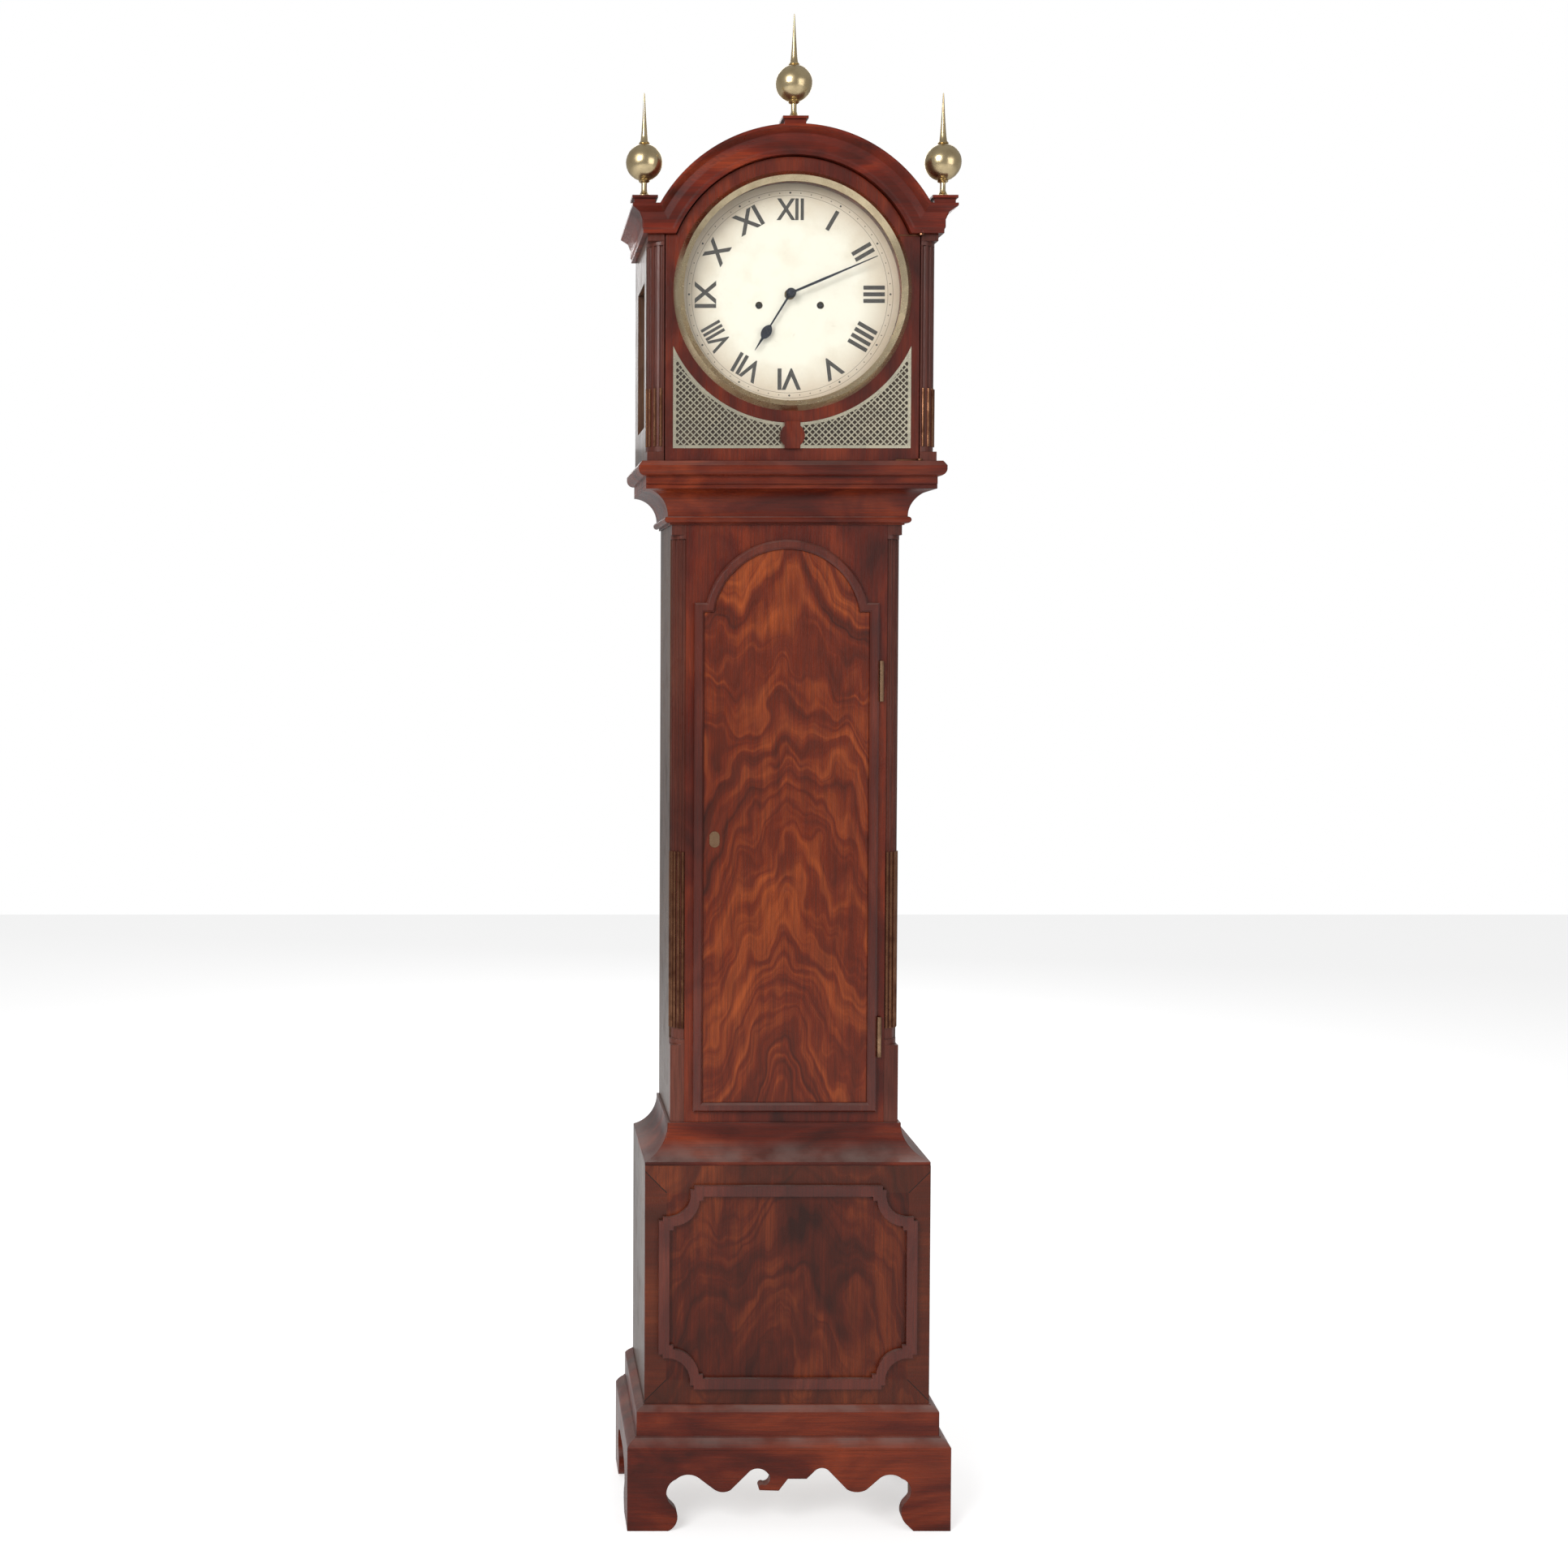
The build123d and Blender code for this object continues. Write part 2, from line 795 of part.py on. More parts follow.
def trunk_door():
    """The arched door with its applied edge moulding, hinges, escutcheon and lock."""
    y_lip = y_trunk - lift_gap
    y_field = y_trunk - door_field_proud
    plug_inset = door_lip + door_play
    board = deep(trunk_door_outline(y_lip, plug_inset), front_t)
    board += deep(trunk_door_outline(y_field, door_band), y_lip - y_field)
    board = board - oval(key_x, lock_z, y_field, 1.0)
    save("trunk_door_board", board)
    y_front = y_trunk - door_proud
    frame = deep(trunk_door_outline(y_front, 0.0), y_lip - y_front)
    frame -= deep(trunk_door_outline(y_front, door_band), y_lip - y_front)
    frame = eased_front(frame, y_front, 3.0)
    for z in (hinge_z_low, hinge_z_high):
        frame -= door_leaf(z)
    save("trunk_door_moulding", frame)
    leaves = []
    frame_leaves = []
    for z in (hinge_z_low, hinge_z_high):
        fixed, moving = trunk_hinge(z)
        frame_leaves.append(fixed)
        leaves.append(moving)
    save("trunk_hinge_frame_leaves", *frame_leaves)
    # The lock is screwed to the back of the door, and its bolt shoots behind the stile.
    edge = -(door_half - plug_inset) + lock_set_in
    y_lock = y_lip + front_t
    span = (lock_z - lock_h / 2, lock_z + lock_h / 2)
    case = box((edge, edge + lock_w), (y_lock, y_lock + lock_t), span)
    room = (lock_z - bolt_h / 2, lock_z + bolt_h / 2)
    y_bolt = y_lock + (lock_t - bolt_t) / 2
    case -= box(
        (edge, edge + lock_w - 6),
        (y_bolt - running, y_bolt + bolt_t + running),
        (room[0] - running, room[1] + running),
    )
    save("trunk_door_brasses", oval(key_x, lock_z, y_field - 0.6, 1.6), case, *leaves)
    bolt = box((edge, edge + lock_w - 7), (y_bolt, y_bolt + bolt_t), room)
    save("trunk_lock_bolt", bolt)


def oval(x, z, y, thickness):
    """An upright oval plate of the escutcheon's size."""
    half_w = 7.5
    half_h = 12.0
    straight = half_h - half_w
    return plate(
        y,
        thickness,
        (x - half_w, z - straight),
        ((x, z - half_h), (x + half_w, z - straight)),
        (x + half_w, z + straight),
        ((x, z + half_h), (x - half_w, z + straight)),
    )


def hood_case():
    """The hood's base, sides, windows, roof, inner frame and the rails that guide it."""
    y_front = y_base
    low = hood_z
    top = hood_top_z
    rim = [
        (-14.5, low),
        (1.5, low),
        (1.5, low + 11.5),
        ((9.5, low + 14.0), (13.0, low + 22.0)),
        (13.0, low + 26.5),
        (8.0, top),
        (-14.5, top),
    ]
    front, right, left = wrapped(rim, base_half, y_front)
    x_pin, y_pin = hood_pin()
    hole = bore((x_pin, y_pin, top - 14), (0, 0, 1), pin_r, 16)
    save("hood_base_moulding", front - hole, right - hole, left)
    inner = base_half - 14.5
    frame_x = trunk_half + cheek_play
    y_rail = y_trunk - 3.0
    frame = Solid.extrude(
        outline(
            on_floor(low),
            (-inner, y_front + 14.5),
            (inner, y_front + 14.5),
            (inner, y_back),
            (frame_x, y_back),
            (frame_x, y_rail),
            (-frame_x, y_rail),
            (-frame_x, y_back),
            (-inner, y_back),
        ),
        Vector(0, 0, hood_frame_t),
    )
    save("hood_base_frame", frame)
    side = box((hood_inner_half, base_half), (hood_corner_y, y_back), (top, cornice_top_z - roof_t))
    side -= box(
        (hood_inner_half, base_half), (window_front_y, window_rear_y), (window_low_z, window_high_z)
    )
    save("hood_sides", *both(side))
    pane = box(
        (hood_inner_half - glass_t, hood_inner_half),
        (window_front_y - glass_lap, window_rear_y + glass_lap),
        (window_low_z - glass_lap, window_high_z + glass_lap),
    )
    save("hood_side_glass", *both(pane))
    y_mask = hood_corner_y
    depth = y_back - y_mask
    shell = deep(
        arched(on_front(y_mask), base_half, cornice_top_z - roof_t, cornice_top_z, roof_r, arch_z), depth
    )
    shell -= deep(
        arched(
            on_front(y_mask),
            base_half - 2,
            cornice_top_z - roof_t - 90,
            cornice_top_z - roof_t,
            roof_r - roof_t,
            arch_z,
        ),
        depth,
    )
    save("hood_roof", shell)
    mask = deep(
        arched(
            on_front(y_mask),
            hood_inner_half,
            top,
            cornice_top_z - roof_t,
            roof_r - roof_t,
            arch_z,
        ),
        mask_t,
    )
    mask -= rod((0, y_mask, dial_z), (0, 1, 0), mask_r, mask_t)
    mask -= box((-fret_x_out + 8, fret_x_out - 8), (y_mask, y_mask + mask_t), (fret_low_z, dial_z - 80))
    save("hood_inner_frame", mask)


def cornice_profile():
    """The cornice section in (out, height above its foot)."""
    return [
        (0.0, 0.0),
        (7.0, 0.0),
        (7.0, 5.0),
        (8.5, 8.0),
        (8.5, 19.0),
        (12.5, 29.0),
        (cornice_out, 36.0),
    ]


def cornice():
    """The cornice: it runs along each side, breaks round the front and rises in an arch."""
    section = cornice_profile()
    spread = 200.0
    arch_steps = section + [(cornice_out, cornice_h + spread), (0.0, cornice_h + spread)]

    def radial(p):
        return Vector(arch_r + p[1], y_base - p[0], arch_z)

    round_part = Solid.revolve(outline(radial, *arch_steps), 360, Axis((0, 0, arch_z), (0, 1, 0)))
    reach = base_half + cornice_out

    def level(p):
        return Vector(-reach, y_base - p[0], cornice_z + p[1])

    straight_part = Solid.extrude(outline(level, *arch_steps), Vector(2 * reach, 0, 0))
    face = arched(
        on_front(y_base - cornice_out), reach, cornice_z, cornice_top_z, roof_r, arch_z
    )
    plan = outline(
        on_floor(cornice_z),
        (-reach, y_base - cornice_out),
        (reach, y_base - cornice_out),
        (base_half, y_base),
        (-base_half, y_base),
    )
    front = round_part & straight_part
    front = front & deep(face, cornice_out)
    front = front & Solid.extrude(plan, Vector(0, 0, spread))
    x_pin, y_pin = hood_pin()
    front -= bore((x_pin, y_pin, cornice_z - 1), (0, 0, 1), pin_r, 10)
    level_steps = [(out, height + cornice_z) for out, height in section]
    level_steps += [(cornice_out, cornice_top_z), (0.0, cornice_top_z)]
    returns = wrapped(level_steps, base_half, y_base)[1:]
    save("hood_cornice", front, *returns)
    fascia = deep(
        arched(on_front(y_base), base_half, cornice_z, cornice_top_z, roof_r, arch_z), hood_corner
    )
    fascia -= rod((0, y_base, arch_z), (0, 1, 0), arch_r, hood_corner)
    save("hood_arch_front", fascia)


def finials():
    """Three turned brass balls with spires, each on a small square block."""
    y = y_base - cornice_out + finial_set_back
    half = finial_block / 2
    narrow = half - 3
    blocks = []
    brass = []
    for x, top in ((-finial_x, cornice_top_z), (0.0, arch_z + roof_r), (finial_x, cornice_top_z)):
        cap_z = top + finial_block_h - 4
        low = top - 3 if x == 0 else top
        block = box((x - narrow, x + narrow), (y - narrow, y + narrow), (low, cap_z))
        block += box((x - half, x + half), (y - half, y + half), (cap_z, cap_z + 4))
        if x == 0:
            block -= rod((0, y - half, arch_z), (0, 1, 0), roof_r, finial_block)
        blocks.append(block)
        brass.append(finial(x, y, top + finial_block_h))
    save("finial_blocks", *blocks)
    save("finials", *brass)


def finial(x, y, foot):
    """One ball and spire on a waisted stem, standing at the height foot."""
    ball = foot + finial_neck_h + finial_ball_r
    tip = ball + finial_ball_r + finial_spire_h
    belts = [radians(-76 + 152 * number / ball_belts) for number in range(ball_belts + 1)]
    round_part = [(finial_ball_r * cos(t), ball + finial_ball_r * sin(t)) for t in belts]
    below = round_part[0][1]
    above = round_part[-1][1]
    stem = [(10.5, foot), (10.5, foot + 2.5), (4.0, foot + 10.0), (4.0, below - 3.0)]
    spire = [(8.0, above + 1.5), (spire_base_r, above + 4.0), (0.6, tip)]
    outline_points = stem + [(8.0, below - 1.5)] + round_part + spire
    return lathe((x, y, 0), (0, 0, 1), finial_sides, *outline_points)


def hood_pin():
    """The hood door's pivot line, in x and y."""
    return base_half - hood_corner - edge_play / 2, y_base - hood_pin_out


def fret_outline(y, inset, side):
    """The spandrel below the dial on one side: two straight edges and one hollow one."""
    radius = fret_r + inset
    x_in = fret_x_in + inset
    x_out = fret_x_out - inset
    low = fret_low_z + inset
    tip = dial_z - sqrt(radius**2 - x_out**2)
    top = dial_z - sqrt(radius**2 - x_in**2)
    x_mid = (x_in + x_out) / 2
    mid = dial_z - sqrt(radius**2 - x_mid**2)
    return outline(
        on_front(y),
        (side * x_in, low),
        (side * x_out, low),
        (side * x_out, tip),
        ((side * x_mid, mid), (side * x_in, top)),
    )


def lattice_holes(y, side):
    """The diamond holes of a fret: those of a slanted grid that lie whole inside its border."""
    half = lattice_pitch / 2 - lattice_bar / sqrt(2)
    across = int(ceil(2 * fret_x_out / lattice_pitch)) + 1
    limit = fret_r + fret_border
    wires = []
    for row in range(1, across):
        for column in range(1, across):
            if (row + column) % 2:
                continue
            x = fret_x_in + fret_border + row * lattice_pitch / 2
            z = fret_low_z + fret_border + column * lattice_pitch / 2
            drop = dial_z - z
            clear = min(hypot(x, drop - half), hypot(x - half, drop))
            if x + half > fret_x_out - fret_border + 1 or drop < half or clear < limit:
                continue
            corners = [(x - half, z), (x, z - half), (x + half, z), (x, z + half)]
            wires.append(Wire.make_polygon([Vector(side * cx, y, cz) for cx, cz in corners]))
    return wires


def door_pivots(half, y_front, low, high):
    """The straps at the door's foot and head, each with an eye and a pin in the hood."""
    x_pin, y_pin = hood_pin()
    pivots = []
    for z, pin_z, pin_len in ((low, low - 12, 14.0), (high - strap_t, high - strap_t, 10.0)):
        strap = box((x_pin - strap_len, half), (y_front, y_front + strap_w), (z, z + strap_t))
        strap += box((x_pin - hood_eye_r, half), (y_pin, y_front), (z, z + strap_t))
        strap += bar((x_pin, y_pin, z), (0, 0, 1), hood_eye_r, strap_t, 12)
        strap += bar((x_pin, y_pin, pin_z), (0, 0, 1), pin_r, pin_len)
        pivots.append(strap)
    return pivots


def hood_door():
    """The hood's door: frame, bezel, glass, frets with silk behind, baluster and pivots."""
    y_rear = hood_corner_y - hood_door_back
    y_front = y_rear - hood_door_t + hood_door_back
    depth = y_rear - y_front
    half = base_half - hood_corner - edge_play
    low = hood_top_z + door_lift
    high = cornice_z - door_lift
    frame = deep(arched(on_front(y_front), half, low, high, arch_r - arch_play, arch_z), depth)
    frame -= rod((0, y_front, dial_z), (0, 1, 0), door_hole_r, depth)
    y_fret = y_front + fret_sink
    y_silk = y_fret + fret_t
    for side in (1, -1):
        frame -= deep(fret_outline(y_front, 0.0, side), fret_sink + fret_t + silk_t)
        frame -= deep(fret_outline(y_front, fret_ledge, side), depth)
    straps = door_pivots(half, y_front, low, high)
    for strap in straps:
        frame -= strap
    save("hood_door_frame", frame)
    save("hood_door_pivots", *straps)
    y_proud = y_front - bezel_proud
    bezel = turned_forward(
        0,
        dial_z,
        (sight_r, y_front),
        (sight_r, y_front - 2.0),
        (sight_r + 8, y_proud),
        (bezel_r, y_front),
    )
    save("dial_bezel", bezel)
    save("dial_glass", rod((0, y_front, dial_z), (0, 1, 0), door_hole_r, glass_t))
    frets = []
    for side in (1, -1):
        edge = fret_outline(y_fret, 0.0, side)
        frets.append(deep(Face(edge.outer_wire(), lattice_holes(y_fret, side)), fret_t))
    save("sound_frets", *frets)
    save("fret_silk", *(deep(fret_outline(y_silk, 0.0, side), silk_t) for side in (1, -1)))
    save("door_baluster", baluster(y_front))


def baluster(y_front):
    """The upright between the frets, which swells near its foot like a flattened vase."""
    top = dial_z - fret_r + 2
    foot = fret_low_z
    return plate(
        y_front - baluster_t,
        baluster_t,
        (-baluster_half, foot - 1),
        (baluster_half, foot - 1),
        (baluster_half, foot + 4),
        ((baluster_bulge + 1, foot + 18), (baluster_half, foot + 32)),
        (baluster_half, top),
        (-baluster_half, top),
        (-baluster_half, foot + 32),
        ((-baluster_bulge - 1, foot + 18), (-baluster_half, foot + 4)),
    )


def toothed(centre, y, teeth, pitch_r, bore_r, thickness):
    """A wheel across y with pointed teeth, one of them straight up."""
    height = 2.0 * pitch_r / teeth
    points = []
    for number in range(2 * teeth):
        turn = pi / 2 + number * pi / teeth
        radius = pitch_r - height if number % 2 else pitch_r + height * 0.9
        points.append(Vector(centre[0] + radius * cos(turn), y, centre[1] + radius * sin(turn)))
    wheel = deep(Face(Wire.make_polygon(points)), thickness)
    return wheel - bore((centre[0], y, centre[1]), (0, 1, 0), bore_r, thickness)


def movement():
    """Seatboard, the movement's frame, the dial, the back cock, the bell and its stand."""
    seat = box((-trunk_half, trunk_half), (seat_front_y, seat_rear_y), (seat_z - seat_t, seat_z))
    for side in (1, -1):
        # The line comes down from the drum through a slot, and ends in a small hole.
        x = side * (winding_x + pulley_r)
        slot_y = (weight_y - 2 * line_slot, weight_y + 2 * line_slot)
        seat -= box((x - line_slot, x + line_slot), slot_y, (seat_z - seat_t, seat_z))
        x = side * (winding_x - pulley_r)
        seat -= bore((x, weight_y, seat_z - seat_t), (0, 0, 1), line_r, seat_t)
    save("seatboard", seat)
    top = seat_z + plate_h
    span = (-plate_half, plate_half)
    front = box(span, (front_plate_y, front_plate_y + plate_t), (seat_z, top))
    back = box(span, (back_plate_y, back_plate_y + plate_t), (seat_z, top))
    pivots = [(0.0, dial_z, arbor_r), (0.0, escape_z, arbor_r), (0.0, anchor_z, arbor_r)]
    pivots.append((hammer_x, hammer_z, arbor_r))
    pivots += [(side * winding_x, arbor_z, barrel_arbor_r) for side in (1, -1)]
    for x, z, radius in pivots:
        front -= bore((x, front_plate_y, z), (0, 1, 0), radius, plate_t)
        back -= bore((x, back_plate_y, z), (0, 1, 0), radius, plate_t)
    y_in = front_plate_y + plate_t
    gap = back_plate_y - y_in
    x_pillar = plate_half - pillar_inset
    posts = []
    for x in (x_pillar, -x_pillar):
        for z in (seat_z + pillar_inset, top - pillar_inset):
            posts.append(bar((x, y_in, z), (0, 1, 0), pillar_r, gap, 12))
    y_dial_back = dial_y + dial_t
    for x in (plate_half - dial_foot_inset, dial_foot_inset - plate_half):
        for z in (seat_z + dial_foot_inset, top - pillar_inset):
            posts.append(bar((x, y_dial_back, z), (0, 1, 0), 3.0, front_plate_y - y_dial_back))
    posts.append(bar((0, front_plate_y - 18, minute_wheel_z), (0, 1, 0), arbor_r, 18))
    save("movement_frame", front, back, *posts)
    dial = rod((0, dial_y, dial_z), (0, 1, 0), dial_r, dial_t)
    dial -= bar((0, dial_y, dial_z), (0, 1, 0), 8.0, dial_t, 12)
    for x in (winding_x, -winding_x):
        dial -= bar((x, dial_y, arbor_z), (0, 1, 0), winding_hole_r, dial_t, 12)
    save("dial_plate", dial)
    crown = bell_z + bell_h
    waist = 0.7 * bell_h
    hollow = (bell_x, bell_y, bell_z)
    bell = lathe(hollow, (0, 0, 1), 28, (bell_r, 0), (0.86 * bell_r, waist), (0.45 * bell_r, bell_h))
    bell -= lathe(
        hollow,
        (0, 0, 1),
        28,
        (bell_r - bell_t, 0),
        (0.86 * bell_r - bell_t, waist - 1),
        (0.45 * bell_r - 1, bell_h - bell_t),
    )
    save("bell", bell)
    y_cock = back_plate_y + plate_t
    save("back_cock", back_cock(y_cock), bell_stand(y_cock, top, crown))


def back_cock(y_cock):
    """The bracket behind the back plate, with the upper half of the suspension spring."""
    y = pendulum_y
    arm_z = (anchor_z + 14, anchor_z + 24)
    cock = box((-20, 20), (y_cock, y_cock + 4), (anchor_z - 8, anchor_z + 24))
    cock -= bar((0, y_cock, anchor_z), (0, 1, 0), 4.5, 4)
    cock += box((-12, 12), (y_cock, y + 6), arm_z)
    cock += box((-spring_t / 2, spring_t / 2), (y - 4, y + 4), (anchor_z + spring_split, arm_z[0]))
    return cock


def bell_stand(y_cock, top, crown):
    """The flat post behind the back plate that holds the bell from above."""
    post_x = (bell_x - 6, bell_x + 6)
    stand = box(post_x, (y_cock, y_cock + 3), (top - 22, crown + 11))
    stand += box(post_x, (bell_y - 6, y_cock), (crown + 8, crown + 11))
    stand += bar((bell_x, bell_y, crown), (0, 0, 1), 3.5, 8)
    return stand


def arbor(x, z, y, length, radius=arbor_r):
    """A steel arbor along y."""
    return bar((x, y, z), (0, 1, 0), radius, length)


def going_train():
    """The centre wheel on its arbor, and the escape wheel with the anchor above it."""
    span = back_plate_y + plate_t - front_plate_y
    y_centre = back_plate_y - 9.0
    y_cannon = front_plate_y - 8.0
    pipe_front = minute_hand_y - hand_t - 1
    centre = toothed((0, dial_z), y_centre, centre_teeth, centre_r, 1.0, wheel_t)
    cannon = toothed((0, dial_z), y_cannon, motion_teeth, motion_r, 1.0, 1.5)
    pipe = bar((0, pipe_front, dial_z), (0, 1, 0), pipe_r, front_plate_y - 1 - pipe_front, 12)
    save("centre_arbor", arbor(0, dial_z, front_plate_y - 1, span + 1) + centre + cannon + pipe)
    y_escape = front_plate_y + plate_t + 32.0
    wheel = escape_wheel(y_escape)
    save("escape_wheel", arbor(0, escape_z, front_plate_y, span) + wheel)
    save("anchor", anchor(y_escape))


def escape_wheel(y):
    """Thirty pointed teeth that lean forward."""
    points = []
    step = 2 * pi / escape_teeth
    root_r = escape_r - escape_depth
    for number in range(escape_teeth):
        turn = pi / 2 + number * step
        for radius, share in ((root_r, -0.3), (escape_r, 0.0), (root_r, 0.12)):
            bend = turn + share * step
            points.append(Vector(radius * cos(bend), y, escape_z + radius * sin(bend)))
    return deep(Face(Wire.make_polygon(points)), 2.0)


def anchor(y_wheel):
    """The anchor with its two pallets, on an arbor that carries the crutch behind."""
    reach = escape_r + pallet_play
    nib_x = reach * sin(radians(pallet_angle))
    nib_z = escape_z + reach * cos(radians(pallet_angle))
    shoulder_z = nib_z + 7.0
    body = plate(
        y_wheel - 1.0,
        4.0,
        (nib_x, nib_z),
        (nib_x + 1.6, nib_z + 1.0),
        (nib_x + 4.0, shoulder_z),
        ((0.0, anchor_z + 5.0), (-nib_x - 4.0, shoulder_z)),
        (-nib_x - 1.6, nib_z + 1.0),
        (-nib_x, nib_z),
        (-nib_x - 0.6, shoulder_z),
        ((0.0, anchor_z - 3.5), (nib_x + 0.6, shoulder_z)),
    )
    y_crutch = back_plate_y + plate_t + 7.0
    shaft = arbor(0, anchor_z, front_plate_y, y_crutch + 3.0 - front_plate_y)
    fork_z = anchor_z - 118.0
    crutch = box((-2.5, 2.5), (y_crutch, y_crutch + 2.0), (fork_z, anchor_z + 4.0))
    fork = box((-6, 6), (y_crutch, pendulum_y + rod_r + 3), (fork_z - 3, fork_z))
    fork -= box(
        (-rod_r - 0.1, rod_r + 0.1),
        (pendulum_y - rod_r - 1, pendulum_y + rod_r + 3),
        (fork_z - 3, fork_z),
    )
    return shaft + body + crutch + fork


def pendulum():
    """A steel rod with a flat brass bob on a rating nut, under half of the spring."""
    y = pendulum_y
    bob_z = anchor_z - pendulum_len
    low = bob_z - bob_r - 16
    rod_top = anchor_z - 14
    strip = box(
        (-spring_t / 2, spring_t / 2), (y - 4, y + 4), (rod_top - 2, anchor_z - spring_split)
    )
    stem = bar((0, y, low), (0, 0, 1), rod_r, rod_top - low)
    half = bob_t / 2
    rear = [(bob_r, -1.0), (0.8 * bob_r, -0.5 * half), (0.4 * bob_r, -0.9 * half)]
    side = [(radius, -distance) for radius, distance in rear]
    bob = lathe((0, y, bob_z), (0, 1, 0), 32, *rear[::-1], *side)
    nut = bar((0, y, bob_z - bob_r - 6), (0, 0, 1), 8.0, 5.5, 16)
    save("pendulum", stem + strip + bob + nut)


def barrels():
    """Two drums with toothed great wheels, on arbors squared in front for the key."""
    y_in = front_plate_y + plate_t
    y_drum = y_in + 8.0
    y_front = dial_y + 1.0
    half = winding_square / 2
    for side, name in ((1, "going"), (-1, "strike")):
        x = side * winding_x
        y_step = front_plate_y - 6
        steel = arbor(x, arbor_z, y_step, back_plate_y + plate_t - y_step, barrel_arbor_r)
        steel += box((x - half, x + half), (y_front, y_step), (arbor_z - half, arbor_z + half))
        steel += bar((x, y_drum, arbor_z), (0, 1, 0), drum_r, drum_len, 24)
        steel += toothed((x, arbor_z), y_in + 4.0, great_teeth, great_r, 1.0, wheel_t + 1.5)
        save(f"{name}_barrel", steel)


def motion_work():
    """The minute wheel, the hour wheel on its pipe and the two hands."""
    y = front_plate_y - 8.0
    stud = (0, minute_wheel_z)
    minute = toothed(stud, y, motion_teeth, motion_r, arbor_r, 1.5)
    minute = minute.rotate(Axis((0, 0, minute_wheel_z), (0, 1, 0)), 180.0 / motion_teeth)
    y_hour = y - 5.0
    hub = bar((0, y_hour, minute_wheel_z), (0, 1, 0), 3.5, 5.0)
    hub -= bore((0, y_hour, minute_wheel_z), (0, 1, 0), arbor_r, 5.0)
    save("minute_wheel", minute + hub)
    wheel = toothed((0, dial_z), y_hour, hour_teeth, hour_r, hour_pipe_r - 1, 1.5)
    tube_len = y_hour + 1.5 - hour_hand_y
    tube = bar((0, hour_hand_y, dial_z), (0, 1, 0), hour_pipe_r, tube_len, 12)
    hole = bore((0, hour_hand_y, dial_z), (0, 1, 0), pipe_r, tube_len, 12)
    save("hour_wheel", wheel + tube - hole)
    y_hand = hour_hand_y - hand_t
    hour = hand(
        y_hand,
        hour_angle,
        bore((0, y_hand, dial_z), (0, 1, 0), pipe_r, hand_t, 12),
        (1.6, 5.0),
        (1.2, hour_len * 0.56),
        ((7.2, hour_len * 0.66), (2.0, hour_len * 0.79)),
        (0.5, hour_len),
    )
    save("hour_hand", hour)
    y_minute = minute_hand_y - hand_t
    pipe = bar((0, y_minute, dial_z), (0, 1, 0), pipe_r, hand_t, 12)
    right_side = ((1.7, 5.0), (1.9, minute_len * 0.35), (0.6, minute_len))
    minute = hand(y_minute, minute_angle, pipe, *right_side)
    cap = lathe((0, y_minute, dial_z), (0, -1, 0), 16, (7.5, 0), (4.5, 3.0), (2.0, 3.8))
    cap -= bar((0, y_minute - 1, dial_z), (0, 1, 0), pipe_r, 1, 12)
    save("minute_hand", minute, cap)


def hand(y, angle, hole, *right_side):
    """A flat hand turned to its angle, from its hole and the points of its right side."""
    left_side = []
    previous = right_side[0]
    for step in right_side[1:]:
        back_to = (-previous[0], previous[1])
        if isinstance(step[0], tuple):
            via, previous = step
            left_side.insert(0, ((-via[0], via[1]), back_to))
        else:
            left_side.insert(0, back_to)
            previous = step
    steps = list(right_side) + [(-previous[0], previous[1])] + left_side
    raised = []
    for step in steps:
        if isinstance(step[0], tuple):
            via, end = step
            raised.append(((via[0], via[1] + dial_z), (end[0], end[1] + dial_z)))
        else:
            raised.append((step[0], step[1] + dial_z))
    blade = plate(y, hand_t, *raised)
    blade += bar((0, y, dial_z), (0, 1, 0), 6.5, hand_t, 16)
    return blade.rotate(Axis((0, 0, dial_z), (0, 1, 0)), angle) - hole


def hammer():
    """The striking hammer's arbor, shank and head, which rests just clear of the bell."""
    span = back_plate_y + plate_t - front_plate_y
    steel = arbor(hammer_x, hammer_z, front_plate_y, span)
    face_x = bell_x - bell_r - hammer_play
    head_z = bell_z + 3.0
    neck_z = head_z - 17.0
    steel += plate(
        bell_y - 1.5,
        3.0,
        (hammer_x - 2.5, hammer_z - 2.5),
        (hammer_x + 2.5, hammer_z - 2.5),
        (face_x - 3, neck_z),
        (face_x - 3, head_z),
        (face_x - 7, head_z),
        (face_x - 7, neck_z),
    )
    steel += bar((face_x - 14, bell_y, head_z), (1, 0, 0), 5.0, 14, 12)
    save("strike_hammer", steel)


